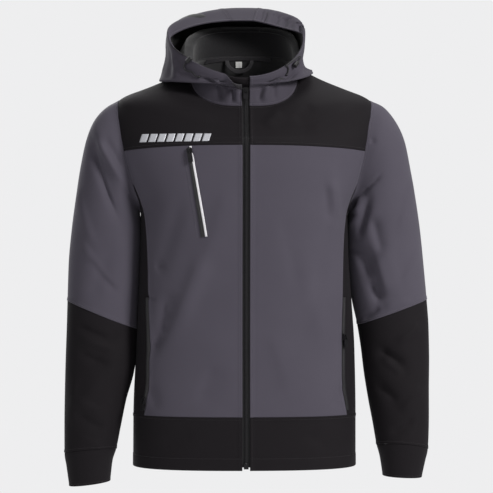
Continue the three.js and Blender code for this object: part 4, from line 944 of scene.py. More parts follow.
def wall(name, mid, turn, materials, nodes, thick=CLOTH, lift=0.0, wrap=False, bump=None,
         inner_bump=None, sides=(1, 1, 1, 1), radius=1.1, sheet=True, normals=None):
    """A closed cloth wall on a grid of middle points, with its edges rolled in. Returns its skins."""
    n = (grid_normals(mid, wrap) if normals is None else normals) * turn
    su, sv = lengths(mid, 0), lengths(mid, 1)
    near = np.full(mid.shape[:2], 1e9)
    if not wrap and sides[0]:
        near = np.minimum(near, su)
    if not wrap and sides[1]:
        near = np.minimum(near, su[-1] - su)
    if sides[2]:
        near = np.minimum(near, sv)
    if sides[3]:
        near = np.minimum(near, sv[:, -1:] - sv)
    roll = np.sqrt(1 - (1 - np.clip(near / radius, 0, 1)) ** 2)
    half = thick / 2 * (0.12 + 0.88 * roll)
    up = half if bump is None else half + bump
    down = half if inner_bump is None else half + inner_bump
    outer = mid + n * (lift + up)[..., None]
    inner = mid + n * (lift - down)[..., None]
    nu, nv = mid.shape[:2]
    ids = np.arange(nu * nv).reshape(nu, nv)
    if wrap:
        ids = np.concatenate([ids, ids[:1]], 0)
    a, b, c, d = ids[:-1, :-1], ids[1:, :-1], ids[1:, 1:], ids[:-1, 1:]
    top = np.stack([a, b, c, d], -1).reshape(-1, 4)
    rim = []
    low, high = ids[:, 0], ids[:, -1]
    off = nu * nv
    rim.append(np.stack([low[1:], low[:-1], low[:-1] + off, low[1:] + off], -1))
    rim.append(np.stack([high[:-1], high[1:], high[1:] + off, high[:-1] + off], -1))
    if not wrap:
        left, right = ids[0], ids[-1]
        rim.append(np.stack([left[:-1], left[1:], left[1:] + off, left[:-1] + off], -1))
        rim.append(np.stack([right[1:], right[:-1], right[:-1] + off, right[1:] + off], -1))
    rim = np.concatenate(rim)
    under = top[:, ::-1] + off
    faces = np.concatenate([top, under, rim])
    if turn < 0:
        faces = faces[:, ::-1]
    slots = np.concatenate([np.zeros(len(top)), np.ones(len(under)), np.zeros(len(rim))])
    uv = np.stack([su, sv], -1).reshape(-1, 2) * MM
    obj = add_mesh(name, np.concatenate([outer.reshape(-1, 3), inner.reshape(-1, 3)]), faces, materials, slots,
                   np.concatenate([uv, uv]))
    finish_piece(obj, nodes)
    if sheet:
        closed = np.concatenate([mid, mid[:1]], 0) if wrap else mid
        e1 = np.linalg.norm(np.diff(closed, axis=0), axis=-1)
        e2 = np.linalg.norm(np.diff(closed, axis=1), axis=-1)
        area = float((0.25 * (e1[:, :-1] + e1[:, 1:]) * (e2[:-1] + e2[1:])).sum()) * MM * MM
        width, length = (max(0.01, float(e.max()) * MM) for e in (e1.sum(0), e2.sum(1)))
        CUTS.append((name, width, length, area))
    return {"obj": obj, "outer": outer, "inner": inner, "n": n, "mid": mid, "su": su, "sv": sv}


CUTS = []
STITCHES = {}


def resample(line, normals, pitch, offset=0.0):
    s = np.concatenate([[0], np.cumsum(np.linalg.norm(np.diff(line, axis=0), axis=-1))])
    count = max(2, int(s[-1] / pitch))
    at = (np.arange(count) + 0.5 + offset) * s[-1] / count
    at = np.clip(at, 0, s[-1])
    pick = lambda values: np.stack([np.interp(at, s, values[:, k]) for k in range(3)], 1)
    ahead = np.clip(at + 0.8, 0, s[-1])
    behind = np.clip(at - 0.8, 0, s[-1])
    far = np.stack([np.interp(ahead, s, line[:, k]) for k in range(3)], 1)
    near = np.stack([np.interp(behind, s, line[:, k]) for k in range(3)], 1)
    return pick(line), unit(far - near), unit(pick(normals))


def stitch(group, line, normals, pitch=3.2, long=2.3, radius=0.34, sunk=0.05):
    """A run of lockstitches on a line of surface points."""
    p, t, n = resample(np.asarray(line), np.asarray(normals), pitch)
    side = unit(np.cross(t, n))
    p = p + n * (radius * 0.55 - sunk)
    rings = []
    for along, fat in ((-0.5, 0.35), (-0.3, 1.0), (0.3, 1.0), (0.5, 0.35)):
        drop = 0.0 if abs(along) < 0.4 else -0.3 * radius
        for k in range(4):
            a = math.pi / 2 * k + math.pi / 4
            rings.append(p + t * along * long + side * (radius * fat * math.cos(a))
                         + n * (radius * fat * math.sin(a) + drop))
    verts = np.stack(rings, 1)
    base = []
    for r in range(3):
        for k in range(4):
            base.append([4 * r + k, 4 * r + (k + 1) % 4, 4 * r + 4 + (k + 1) % 4, 4 * r + 4 + k])
    base.append([3, 2, 1, 0])
    base.append([12, 13, 14, 15])
    STITCHES.setdefault(group, []).append((verts, np.array(base)))


def add_stitches():
    for group, runs in STITCHES.items():
        verts, faces, start = [], [], 0
        for points, base in runs:
            count = len(points)
            verts.append(points.reshape(-1, 3))
            faces.append((base[None] + (start + 16 * np.arange(count))[:, None, None]).reshape(-1, 4))
            start += 16 * count
        material = THREAD_GREY if group.endswith("grey") else THREAD_BLACK
        verts = np.concatenate(verts)
        uv = np.stack([verts[:, 0] + verts[:, 1], verts[:, 2]], 1) * MM
        finish_piece(add_mesh("stitches_" + group, verts, np.concatenate(faces), [material], None, uv))


def column(w, i, skin="outer"):
    return w[skin][i], w["n"][i] * (1 if skin == "outer" else -1)


def row(w, j, skin="outer", wrap=False):
    line, n = w[skin][:, j], w["n"][:, j] * (1 if skin == "outer" else -1)
    if wrap:
        line, n = np.concatenate([line, line[:1]]), np.concatenate([n, n[:1]])
    return line, n


def dimple(distance, at=4.0, depth=0.5, width=1.0):
    """The shallow groove that a line of stitches pulls into the cloth."""
    return -depth * np.exp(-(((distance - at) / width) ** 2))


def edge_bumps(mid, which, at=4.0, depth=0.5):
    su, sv = lengths(mid, 0), lengths(mid, 1)
    total = np.zeros(mid.shape[:2])
    if "u0" in which:
        total = total + dimple(su, at, depth)
    if "u1" in which:
        total = total + dimple(su[-1] - su, at, depth)
    if "v0" in which:
        total = total + dimple(sv, at, depth)
    if "v1" in which:
        total = total + dimple(sv[:, -1:] - sv, at, depth)
    return total


add_camera()


# Hood cords, which hang out of their locks and end in a small bead.
def catmull(points, parts):
    p = np.concatenate([[2 * points[0] - points[1]], points, [2 * points[-1] - points[-2]]])
    t = np.linspace(0, 1, parts, endpoint=False)[:, None]
    out = []
    for i in range(len(points) - 1):
        a, b, c, d = p[i : i + 4]
        out.append(0.5 * (2 * b + (c - a) * t + (2 * a - 5 * b + 4 * c - d) * t**2 + (3 * b - a - 3 * c + d) * t**3))
    return np.concatenate(out + [points[-1:]])


def sweep(path, radius, sides, ends=True):
    """A round tube along a path, with round ends."""
    tangent = unit(np.gradient(path, axis=0))
    side = unit(np.cross(tangent, np.array([0.3, 1.0, 0.2])))
    other = np.cross(tangent, side)
    size = np.full(len(path), radius)
    if ends:
        path = np.concatenate([path[:1] - tangent[:1] * radius * 0.7, path, path[-1:] + tangent[-1:] * radius * 0.7])
        side, other = (np.concatenate([v[:1], v, v[-1:]]) for v in (side, other))
        size = np.concatenate([[radius * 0.35], size, [radius * 0.35]])
    turn = np.arange(sides) / sides * 2 * np.pi
    rings = path[:, None] + size[:, None, None] * (
        np.cos(turn)[None, :, None] * side[:, None] + np.sin(turn)[None, :, None] * other[:, None]
    )
    count = len(path)
    ids = np.arange(count * sides).reshape(count, sides)
    faces = np.stack([ids[:-1], np.roll(ids, -1, 1)[:-1], np.roll(ids, -1, 1)[1:], ids[1:]],
                     -1).reshape(-1, 4).tolist()
    faces += [ids[0][::-1].tolist(), ids[-1].tolist()]
    along = np.concatenate([[0], np.cumsum(np.linalg.norm(np.diff(path, axis=0), axis=-1))])
    uv = np.stack([np.broadcast_to(turn * radius, (count, sides)),
                   np.broadcast_to(along[:, None], (count, sides))], -1)
    return rings.reshape(-1, 3), faces, uv.reshape(-1, 2) * MM


CORD_DIAMETER = 2.5
for side, rows in CORD_ROUTES.items():
    angle, ring = rows["angle"], rows["ring"]
    away = normal_of(plain_hood, angle, ring, 1, 0.5, 0.05)
    route = catmull(plain_hood(angle, ring) + away * rows["lift"][:, None], 4)
    verts, faces, uv = sweep(route, CORD_DIAMETER / 2, 14, ends=False)
    tube = finish_piece(add_mesh("cord_" + side, verts, faces, [BRAID], None, uv), ["hood_cord_" + side])
    tip = unit(route[-1] - route[-2])
    bead_path = route[-1] + np.outer(np.linspace(-1.6, 1.4, 6), tip)
    swell = np.array([0.8, 1.25, 1.5, 1.5, 1.25, 0.7])
    verts, faces, uv = sweep(bead_path, 1.0, 14, ends=False)
    centre = np.repeat(bead_path, 14, 0)
    verts = centre + (verts - centre) * np.repeat(swell * 1.55, 14)[:, None]
    bead = finish_piece(add_mesh("cord_bead_" + side, verts, faces, [LOCK], None, uv), ())
    length = float(np.linalg.norm(np.diff(route, axis=0), axis=-1).sum())
    print("cord", side, round(length, 1))


# The body's panels.
def panel(start, end, low, high):
    def surface(u, v):
        u, v = np.broadcast_arrays(u, v)
        level = mix(low, high, v)
        return mix(start(level), end(level), u), level

    return surface


def lap(distance, wide=5.4, height=0.8):
    """The raised band beside a seam, where the cut edge is folded under and stitched down."""
    return height * (1 - smooth(wide - 0.9, wide + 0.9, distance))


def edge_distance(mid, edge):
    su, sv = lengths(mid, 0), lengths(mid, 1)
    return {"u0": su, "u1": su[-1] - su, "v0": sv, "v1": sv[:, -1:] - sv}[edge]


def seam_bumps(mid, laps, stitched):
    total = np.zeros(mid.shape[:2])
    for edge in laps:
        total = np.maximum(total, lap(edge_distance(mid, edge)))
    return total + edge_bumps(mid, stitched)


def edge_line(w, edge, at=STITCH_AT, skin="outer"):
    i = at if edge.endswith("0") else -1 - at
    return column(w, i, skin) if edge[0] == "u" else row(w, i, skin)


def add_panel(name, node, material, angles, u0=EDGE, u1=EDGE, v0=EDGE, v1=EDGE, laps=(), stitched=(),
              turn=1, step=4.4, pins=(), extra=None):
    gap = 0.15
    marks = [[m + gap for m in marks] for marks in (u0, u1, v0, v1)]
    surface = lambda u, v: body(*angles(u, v))
    u, v = patch(surface, *marks, step=step, pins=pins)
    mid = surface(u, v)
    bump = seam_bumps(mid, laps, stitched)
    if extra is not None:
        bump = bump + extra(mid)
    w = wall(name, mid, turn, [material, LINING], [node], bump=bump)
    group = "grey" if material in (GREY, HOOD) else "black"
    for edge in stitched:
        stitch("body_" + group, *edge_line(w, edge))
    return w


def add_front(side):
    sign = 1 if side == "left" else -1
    centre = lambda level: centre_angle(level, sign)
    edge = lambda level: sign * panel_edge(level, side, True)
    quarter = lambda level: 90 * sign + 0 * level
    inner, outer = ("u0", "u1") if side == "left" else ("u1", "u0")
    order = lambda far: (centre, far) if side == "left" else (far, centre)
    add_panel("panel_front_" + side, "front_" + side, GREY, panel(*order(edge), HEM_TOP, YOKE_LEVEL),
              laps=(inner, outer), stitched=(inner, outer))
    corner = (SHOULDER_LEVEL - YOKE_LEVEL) / -YOKE_LEVEL
    add_panel("panel_yoke_front_" + side, "yoke_front_" + side, BLACK,
              panel(*order(edge), YOKE_LEVEL, 0.0),
              laps=(inner, "v0"), stitched=(inner, "v0", "v1"), pins=[(outer, corner)])
    w = add_panel("panel_hem_" + side, "hem_" + side, BLACK,
                  panel(*order(quarter), HEM_BOTTOM, HEM_TOP),
                  v0=HEM_MARKS, laps=(inner, "v1"), stitched=(inner, "v1"), extra=hem_groove)
    stitch("body_black", *edge_line(w, "v0", HEM_MARKS.index(21)))


HEM_MARKS = [0, 0.12, 0.35, 0.7, 1.2, 2.2, 4, 7, 12, 17, 20, 21, 22, 25]


def hem_groove(mid):
    low = edge_distance(mid, "v0")
    return dimple(low, 21.15, 0.35, 1.0) + 0.5 * (1 - smooth(20.4, 22.4, low))


def add_back():
    start = lambda level: panel_edge(level, "left", False)
    end = lambda level: 360 - panel_edge(level, "right", False)
    corner = (SHOULDER_LEVEL - YOKE_LEVEL) / -YOKE_LEVEL
    add_panel("panel_back", "back_panel", GREY, panel(start, end, HEM_TOP, YOKE_LEVEL),
              laps=("u0", "u1"), stitched=("u0", "u1"))
    add_panel("panel_yoke_back", "yoke_back", BLACK, panel(start, end, YOKE_LEVEL, 0.0),
              laps=("v0",), stitched=("v0", "v1"), pins=[("u0", corner), ("u1", corner)])
    w = add_panel("panel_hem_back", "hem_back", BLACK,
                  panel(lambda level: 90 + 0 * level, lambda level: 270 + 0 * level, HEM_BOTTOM, HEM_TOP),
                  v0=HEM_MARKS, laps=("v1",), stitched=("v1",), extra=hem_groove)
    stitch("body_black", *edge_line(w, "v0", HEM_MARKS.index(21)))


def add_side(side):
    sign = 1 if side == "left" else -1
    last = 360 - CORNER_TURN

    def angles(u, v):
        u, v = np.broadcast_arrays(u, v)
        edge_level = mix(HEM_TOP, CORNER_LEVEL, v)
        above = np.maximum(0, edge_level - SIDE_BASE)
        turn = mix(CORNER_TURN, last, u)
        ends = armhole_angle(np.array([CORNER_TURN, last]), side)
        top = (armhole_angle(turn, side) - ends[0]) / (ends[1] - ends[0])
        rise = above / (CORNER_LEVEL - SIDE_BASE)
        level = np.where(above <= 0, edge_level, SIDE_BASE + rise * (armhole_level(turn) - SIDE_BASE))
        first, second = panel_edge(edge_level, side, True), panel_edge(edge_level, side, False)
        return sign * mix(first, second, mix(u, top, rise)), level

    add_panel("panel_side_" + side, "side_panel_" + side, BLACK, angles, turn=sign)


for name in ("left", "right"):
    add_front(name)
    add_side(name)
add_back()


# Sleeves.
def add_sleeve(side):
    turn = 1 if side == "left" else -1
    rows = (
        ("sleeve_upper_", "panel_sleeve_upper_", "shell_grey", GREY, 0.0, 8.0, 108, 0.3, 0.15),
        ("sleeve_lower_", "panel_sleeve_lower_", "shell_black", BLACK, 8.0, 13.0, 92, 0.15, 0.15),
        ("cuff_", "panel_cuff_", "shell_black", BLACK, 13.0, 15.0, 76, 0.15, 0.0),
    )
    for node, name, slot, material, first, last, around, gap0, gap1 in rows:
        surface = lambda u, v: sleeve(side, 360 * u, mix(first, last, v))
        marks0 = [m + gap0 for m in EDGE]
        marks1 = [m + gap1 for m in EDGE]
        u, v = tube_patch(surface, around, marks0, marks1, 4.4)
        mid = surface(u, v)
        sv = lengths(mid, 1)
        top, bottom = sv, sv[:, -1:] - sv
        bump = np.zeros(mid.shape[:2])
        group = "sleeve_grey" if material is GREY else "sleeve_black"
        if first == 0:
            bump = (bump + lap(top, height=0.5) + dimple(top) + lap(bottom, 5.6, 0.9) + dimple(bottom)
                    + dimple(bottom, 1.1, 0.2, 0.6))
        elif last == 13:
            bump = bump + lap(bottom) + dimple(bottom)
        else:
            bump = bump + dimple(bottom) + 0.35 * (1 - smooth(4.5, 6, bottom))
        w = wall(name + side, mid, turn, [material, LINING], [node + side], wrap=True, bump=bump)
        if first == 0:
            stitch(group, *row(w, STITCH_AT, wrap=True))
            stitch(group, *row(w, -1 - EDGE.index(1.1), wrap=True))
        stitch(group, *row(w, -1 - STITCH_AT, wrap=True))


for name in ("left", "right"):
    add_sleeve(name)


# Collar and hood.
NECK_START = float(centre_angle(np.array(0.0), 1)) + 0.1


def collar_surface(u, v):
    u, v = np.broadcast_arrays(u, v)
    angle = mix(NECK_START, 360 - NECK_START, u)
    point = hood(angle, v)
    rest = body(angle, 0 * v) - hood(angle, 0 * v)
    return point + rest * (1 - smooth(0, 0.5, v))[..., None]


marks = [m + 0.02 for m in EDGE]
u, v = patch(collar_surface, marks, marks, marks, marks, step=4.0, samples=121)
mid = collar_surface(u, v)
w = wall("panel_collar", mid, 1, [HOOD, LINING], ["collar"],
         bump=seam_bumps(mid, ("u0", "u1", "v0"), ("u0", "u1", "v0", "v1")))
for edge in ("u0", "u1", "v0", "v1"):
    stitch("hood_grey", *edge_line(w, edge))

RIM_MARKS = [0, 0.12, 0.35, 0.7, 1.1, 1.7, 2.6, 4, 6.5, 10, 13, 14.4, 15, 15.6, 17, 20]
LINING_ROWS = dict(LINING_CREASES)
for key in ("r0", "r1", "r2"):
    LINING_ROWS[key] = LINING_ROWS[key] * RING_MM
FACING = woven("rim_facing", srgb(26, 24, 28), srgb(36, 33, 38), sheen=0.1)
HOOD_PIECES = (
    ("left", NECK_START, HOOD_SEAMS[0], ("u0", "u1")),
    ("centre", HOOD_SEAMS[0], HOOD_SEAMS[1], ()),
    ("right", HOOD_SEAMS[1], 360 - NECK_START, ("u0", "u1")),
)
for side, first, last, stitched in HOOD_PIECES:
    surface = lambda u, v: hood(mix(first, last, u), mix(COLLAR_TOP, RIM, v))
    rim = [m for m in RIM_MARKS]
    u, v = patch(surface, marks, marks, marks, rim, step=4.0, samples=121)
    mid = surface(u, v)
    u_angle, v_ring = mix(first, last, u), mix(COLLAR_TOP, RIM, v)
    high = edge_distance(mid, "v1")
    bump = seam_bumps(mid, stitched, stitched) + dimple(high) * 1.0
    folds = crease_height(LINING_ROWS, u_angle * HOOD_ASPECT, v_ring * RING_MM, AR, HOOD_ASPECT)
    inner_bump = folds * smooth(14, 24, high) + 0.8 * (1 - smooth(14.4, 15.8, high)) + dimple(high, 14.0, 0.3, 0.7)
    inner_bump = inner_bump + edge_bumps(mid, ("u0", "u1"), depth=0.5)
    name = "panel_hood_" + side
    w = wall(name, mid, 1, [HOOD, LINING, FACING],
             ["hood_centre" if side == "centre" else "hood_side_" + side],
             bump=bump, inner_bump=inner_bump)
    count = (mid.shape[0] - 1) * (mid.shape[1] - 1)
    near = high[:-1, :-1].reshape(-1) < 15.1
    index = np.zeros(len(w["obj"].data.polygons), np.int32)
    w["obj"].data.polygons.foreach_get("material_index", index)
    index[count : 2 * count][near] = 2
    w["obj"].data.polygons.foreach_set("material_index", index)
    for edge in stitched:
        stitch("hood_grey", *edge_line(w, edge))
    stitch("hood_grey", *row(w, -1 - RIM_MARKS.index(4)))
    stitch("hood_black", *row(w, -1 - RIM_MARKS.index(14.4), "inner"))
    for edge in ("u0", "u1"):
        line, n = edge_line(w, edge, STITCH_AT, "inner")
        stitch("hood_black", line[STITCH_AT:-12], n[STITCH_AT:-12])


# Front zip.
def front_line(x, low, high, count=321):
    """Points and normals of the front at one x, from a level of the body to a ring of the collar."""
    below = np.linspace(low, min(high, -0.4), count)
    places = np.concatenate([below, np.linspace(0.05, high, 24)]) if high > 0 else below
    return front_node(x, places)


def along_line(points, normals, pitch):
    s = np.concatenate([[0], np.cumsum(np.linalg.norm(np.diff(points, axis=0), axis=-1))])
    at = np.arange(pitch / 2, s[-1], pitch)
    pick = lambda values: np.stack([np.interp(at, s, values[:, k]) for k in range(3)], 1)
    p, n = pick(points), unit(pick(normals))
    return p, unit(np.gradient(p, axis=0)), n


for side in ("left", "right"):
    sign = 1 if side == "left" else -1
    xs = np.sort(sign * np.array([0.4, 0.6, 1.5, 3, 4.5, 6, 8, 9.6, 9.9, 10]))
    lines = [front_line(x, -703.0, 0.95) for x in xs]
    mid = np.stack([line[0] for line in lines])
    n = np.stack([line[1] for line in lines])
    wall("tape_front_" + side, mid, 1, [TAPE, TAPE], ["zip_tape_" + side],
         thick=1.0, lift=-2.0, radius=0.4, normals=n)


def teeth(points, normals, pitch, wide, overlap, deep, lift):
    """Two rows of moulded teeth that mesh along a line of points."""
    p, t, n = along_line(points, normals, pitch)
    side = unit(np.cross(t, n))
    turn = np.where(np.arange(len(p)) % 2 == 0, 1.0, -1.0)[:, None]
    middle = p + side * turn * (wide - overlap) / 2 + n * lift
    half = ((wide + overlap) / 2, pitch * 0.46)
    rings = []
    for height, inset in ((-deep / 2, 0.0), (deep / 2 - 0.3, 0.0), (deep / 2, 0.32)):
        for sx, sy in ((-1, -1), (1, -1), (1, 1), (-1, 1)):
            rings.append(middle + side * turn * sx * (half[0] - inset) + t * sy * (half[1] - inset) + n * height)
    verts = np.stack(rings, 1)
    base = [[3, 2, 1, 0], [8, 9, 10, 11]]
    for r in (0, 4):
        for k in range(4):
            base.append([r + k, r + (k + 1) % 4, r + 4 + (k + 1) % 4, r + 4 + k])
    base = np.array(base)
    flip = base[:, ::-1]
    faces = np.concatenate([(base if i % 2 == 0 else flip) + 12 * i for i in range(len(p))])
    return verts.reshape(-1, 3), faces


points, normals = front_line(0.0, -696.0, 0.52)
verts, faces = teeth(points, normals, 1.5, 2.8, 0.9, 2.0, -0.2)
finish_piece(add_mesh("teeth_front", verts, faces, [TEETH], smooth_faces=False), ["zip_chain"])


# Chin guard.
def guard_surface(u, v):
    u, v = np.broadcast_arrays(u, v)
    angle = mix(-24.0, 4.5, u)
    p = plain_hood(np.abs(angle), mix(0.5, 8.8, v))
    p[..., 0] *= np.where(angle < 0, -1, 1)
    return p


u, v = patch(guard_surface, EDGE, EDGE, EDGE, EDGE, step=4.0)
mid = guard_surface(u, v)
w = wall("guard_chin", mid, 1, [BLACK, LINING], ["chin_guard"], thick=1.2, lift=-3.6, radius=0.7,
         bump=edge_bumps(mid, ("u0", "u1", "v1"), depth=0.15))
for edge in ("u0", "u1", "v1"):
    stitch("hood_black", *edge_line(w, edge))


# What lies on the front panels is set out as seen from the front.
def on_front(x, z):
    x, z = np.broadcast_arrays(np.asarray(x, float), np.asarray(z, float))
    level = z + 0.0
    for _ in range(6):
        level = level + z - plain_body(angle_at_x(level, x, True), level)[..., 2]
    angle = angle_at_x(level, x, True)
    return body(angle, level), normal_of(body, angle, level)


def ribbon(path, offsets, step):
    """A band beside a path given as seen from the front: points and normals on the front panels."""
    path = np.asarray(path, float)
    s = np.concatenate([[0], np.cumsum(np.linalg.norm(np.diff(path, axis=0), axis=-1))])
    at = np.linspace(0, s[-1], max(3, int(s[-1] / step)))
    x, z = np.interp(at, s, path[:, 0]), np.interp(at, s, path[:, 1])
    dx, dz = np.gradient(x), np.gradient(z)
    size = np.hypot(dx, dz)
    o = np.asarray(offsets, float)[:, None]
    return on_front(x + o * dz / size, z - o * dx / size), at


def coil(offsets, at, pitch=1.5, height=0.55, half=1.3):
    """The ribbed ridge of a closed coil zip, with the slit where its halves meet."""
    o = np.abs(np.asarray(offsets))[:, None]
    ridge = height * (1 - smooth(half * 0.7, half, o)) * (0.72 + 0.28 * np.cos(2 * np.pi * at / pitch)[None])
    return ridge - 0.5 * np.exp(-((o / 0.22) ** 2))


ZIP_OFFSETS = [-3.2, -3.1, -2.6, -2.0, -1.4, -1.15, -0.8, -0.4, -0.2, 0, 0.2, 0.4, 0.8, 1.15, 1.4, 2.0, 2.6, 3.1, 3.2]
CHEST_PATH = [(-97.2, -160.0), (-74.7, -301.5)]
(mid, n), at = ribbon(CHEST_PATH, ZIP_OFFSETS, 0.5)
wall("zip_chest", mid, 1, [TEETH, TAPE], ["chest_zip"], thick=1.4, lift=2.0, radius=0.4, normals=n,
     bump=coil(ZIP_OFFSETS, at))
bend = catmull(np.array([(-96.9, -143.4), (-96.4, -149.6), (-94.4, -157.5), (-92.6, -164.5),
                         (-91.4, -172.5), (-88.0, -192.0), (-68.8, -300.6)]), 8)
offsets = np.linspace(-2, 2, 11)
(mid, n), at = ribbon(bend, offsets, 1.2)
wall("piping_chest", mid, 1, [PIPING, PIPING], ["chest_piping"],
     thick=0.9, lift=1.95, radius=0.5, normals=n,
     bump=0.7 * np.sqrt(np.maximum(0, 1 - (offsets / 2) ** 2))[:, None] + 0 * mid[..., 0])
for shift in (3.6, -5.2):
    (line, n), at = ribbon(CHEST_PATH, [shift - 5.0 if shift < 0 else shift + 6.4], 1.5)
    stitch("body_grey", line[0] + n[0] * 1.0, n[0])


# Hand pocket zips in the side seams.
def pocket_band(side, offsets, low, high):
    sign = 1 if side == "left" else -1
    level = np.linspace(low, high, int((high - low) / 0.5))[None]
    seam = angle_at_x(level, sign * seam_x(level), True)
    reach = np.linalg.norm(plain_body(seam, level)[..., :2], axis=-1)
    o = np.asarray(offsets, float)[:, None]
    angle = seam + np.degrees((sign * 3.5 + o) / reach)
    level = np.broadcast_to(level, angle.shape)
    return body(angle, level), normal_of(body, angle, level)


for side in ("left", "right"):
    offsets = np.array(ZIP_OFFSETS) * 3.5 / 3.2
    mid, n = pocket_band(side, offsets, -607.0, -408.0)
    at = lengths(mid, 1)[0]
    wall("zip_pocket_" + side, mid, 1, [TEETH, TAPE], ["pocket_zip_" + side],
         thick=1.4, lift=2.0, radius=0.4,
         normals=n, bump=coil(offsets, at))


# A plain segmented reflective strip on the right yoke.
verts, faces, start = [], [], 0
COUNT, LEFT, PITCH, WIDE, SLANT, TOP, BOTTOM = 8, -186.5, 15.6, 12.4, 4.4, -120.9, -135.2
for k in range(COUNT):
    a, b = np.meshgrid(np.linspace(0, 1, 7), np.linspace(0, 1, 7), indexing="ij")
    x = LEFT + PITCH * k + WIDE * a + SLANT * b
    p, n = on_front(x, mix(BOTTOM, TOP, b))
    edge = np.minimum(np.minimum(a, 1 - a), np.minimum(b, 1 - b))
    lift = 1.06 + 0.16 * (edge > 0)
    verts += [(p + n * lift[..., None]).reshape(-1, 3), (p + n * 1.02).reshape(-1, 3)]
    ids = np.arange(49).reshape(7, 7)
    quad = np.stack([ids[:-1, :-1], ids[1:, :-1], ids[1:, 1:], ids[:-1, 1:]], -1).reshape(-1, 4)
    ring = np.concatenate([ids[:, 0], ids[-1, 1:], ids[-2::-1, -1], ids[0, -2:0:-1]])
    side = np.stack([np.roll(ring, -1), ring, ring + 49, np.roll(ring, -1) + 49], -1)
    faces += [quad + start, quad[:, ::-1] + start + 49, side + start]
    start += 98
finish_piece(add_mesh("reflective_strip", np.concatenate(verts), np.concatenate(faces), [REFLECTIVE]),
             ())


# Neck tape, blank label and hanger loop.
def back_band(angle, level):
    return (body(angle, level, fine=False),
            normal_of(lambda a, b: body(a, b, fine=False), angle, np.minimum(level, -STEP)))


a, b = np.meshgrid(np.linspace(142.5, 231.5, 60),
                   np.array([-7.5, -7.3, -6.9, -6.2, -5, -3.8, -2.6, -1.6, -0.9, -0.7, -0.6]), indexing="ij")
mid, n = back_band(a, b)
w = wall("tape_neck", mid, 1, [WEBBING, WEBBING], ["neck_tape"],
         thick=1.0, lift=-1.8, radius=0.5, normals=n)
for j in (3, 7):
    stitch("hood_black", *row(w, j, "inner"), pitch=2.8, long=2.0)
xs = np.linspace(-3.5, -15.5, 25)[:, None]
level = np.linspace(-19.5, -9, 27)[None]
angle = angle_at_x(level, np.abs(xs), False)
mid, n = back_band(360 - angle, np.broadcast_to(level, angle.shape))
wave = 0.25 * np.sin(np.linspace(0, 9, 25))[:, None] * np.linspace(1, 0, 27)[None]
w = wall("label_neck", mid, 1, [LABEL, LABEL], ["neck_label"],
         thick=0.7, lift=-2.2, radius=0.4, normals=n, inner_bump=wave)
turn = np.pi * (1 + np.linspace(0, 1, 61))[:, None]
reach = np.linspace(19, 26.5, 9)[None]
x = -8.5 + reach * np.cos(turn)
z = 23 + (24 - (26.5 - reach)) * np.sin(turn)
neck = body(angle_at_x(-3.0 + 0 * x, np.abs(x), False), -3.0 + 0 * x, fine=False)[..., 1]
mid = np.stack([x, neck - 2.9, z], -1)
n = np.broadcast_to(np.array([0.0, 1.0, 0.0]), mid.shape)
wall("loop_hanger", mid, -1, [WEBBING, WEBBING], ["hanger_loop"], thick=1.1, radius=0.5, normals=n)

add_stitches()

# The hard pieces keep their own shapes and get their finish.
SHOWN = {"zip_box": METAL, "cord_lock_left": LOCK, "cord_lock_right": LOCK}
for place in ("zip", "chest", "pocket_left", "pocket_right"):
    SHOWN[place + "_slider"] = METAL
    SHOWN[place + "_pull"] = METAL
for name, material in SHOWN.items():
    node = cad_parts[name]
    if not node.material_slots:
        node.data.materials.append(material)
    for used in node.material_slots:
        used.material = material
    edges = node.modifiers.new("worn_edges", "BEVEL")
    edges.width, edges.segments, edges.limit_method = 0.00022, 2, "ANGLE"


# Studio: a pale seamless sweep well below and behind, and soft lights.
def plain_material(name, colour, rough):
    m = Nodes(name)
    grain = m.add("ShaderNodeTexNoise", Scale=3.0, Detail=2.0)
    tone = m.add("ShaderNodeMix", data_type="RGBA")
    tone.inputs[6].default_value = colour
    tone.inputs[7].default_value = tuple(min(1, c * 1.01) for c in colour[:3]) + (1,)
    m.link(grain, "Fac", tone, 0)
    m.link(tone, 2, m.shader, "Base Color")
    m.sockets(Roughness=rough, Specular_IOR_Level=0.1)
    return m.material


def disc_floor(radius=4.5, level=-1.5, sides=96):
    turns = np.linspace(0, 2 * np.pi, sides, endpoint=False)
    verts = [(radius * math.cos(t) / MM, radius * math.sin(t) / MM, level / MM) for t in turns]
    add_mesh("studio_floor", verts, [list(range(sides))],
                      [plain_material("studio_paper", srgb(238, 238, 239), 0.9)])


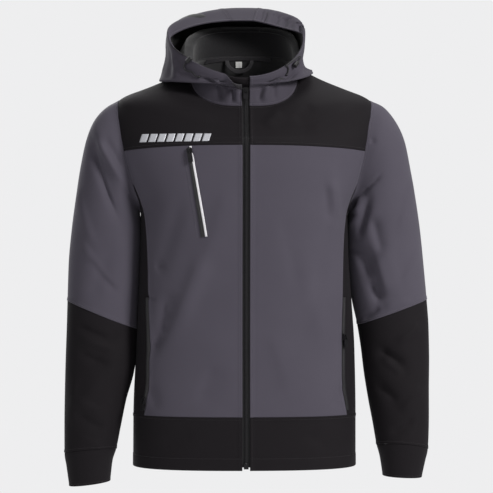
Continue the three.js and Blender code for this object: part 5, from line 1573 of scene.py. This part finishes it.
def backdrop_dome(radius=15.0, rows=12, sides=36):
    """A pale backdrop on every side, seen by the camera alone, so that it neither lights nor shades the jacket."""
    verts, faces = [], []
    for i in range(rows + 1):
        tilt = -math.pi / 2 + math.pi * i / rows
        for k in range(sides):
            t = 2 * math.pi * k / sides
            verts.append((radius * math.cos(tilt) * math.cos(t) / MM, radius * math.cos(tilt) * math.sin(t) / MM,
                          radius * math.sin(tilt) / MM))
    for i in range(rows):
        for k in range(sides):
            k1 = (k + 1) % sides
            faces.append([i * sides + k, (i + 1) * sides + k, (i + 1) * sides + k1, i * sides + k1])
    paper = Nodes("backdrop_paper")
    glow = paper.add("ShaderNodeEmission", Strength=1.0)
    glow.inputs["Color"].default_value = srgb(238, 238, 239)
    paper.link(glow, "Emission", paper.tree.nodes["Material Output"], "Surface")
    dome = add_mesh("studio_backdrop", verts, faces, [paper.material])
    for ray in ("diffuse", "glossy", "transmission", "volume_scatter", "shadow"):
        setattr(dome, "visible_" + ray, False)


def area_light(name, place, aim, size, power, colour=(1, 1, 1)):
    data = bpy.data.lights.new(name, "AREA")
    data.shape, data.size, data.size_y = "RECTANGLE", size[0], size[1]
    data.energy, data.color = power, colour
    lamp = bpy.data.objects.new(name, data)
    bpy.context.scene.collection.objects.link(lamp)
    lamp.location = place
    lamp.rotation_mode = "QUATERNION"
    lamp.rotation_quaternion = (Vector(aim) - Vector(place)).to_track_quat("-Z", "Y")


disc_floor()
backdrop_dome()
area_light("key", (2.6, -2.3, 1.6), (0, 0, -0.3), (1.1, 1.1), 120, (1, 0.99, 0.98))
area_light("fill", (-2.8, -2.6, 0.3), (0, 0, -0.35), (2.4, 2.4), 15)
area_light("top", (0.4, 0.9, 2.4), (0, 0, -0.1), (2.0, 1.6), 32)
area_light("behind", (-1.6, 2.8, 1.2), (0, 0, -0.3), (2.0, 2.0), 60)
world = bpy.data.worlds.new("studio")
bpy.context.scene.world = world
world.use_nodes = True
world.node_tree.nodes["Background"].inputs["Color"].default_value = (1, 1, 1, 1)
world.node_tree.nodes["Background"].inputs["Strength"].default_value = 0.24
bpy.context.scene.view_settings.view_transform = "Standard"

for name, width, length, area in CUTS:
    print("cut", name, round(width * 1000), round(length * 1000), round(area * 1e4, 1))
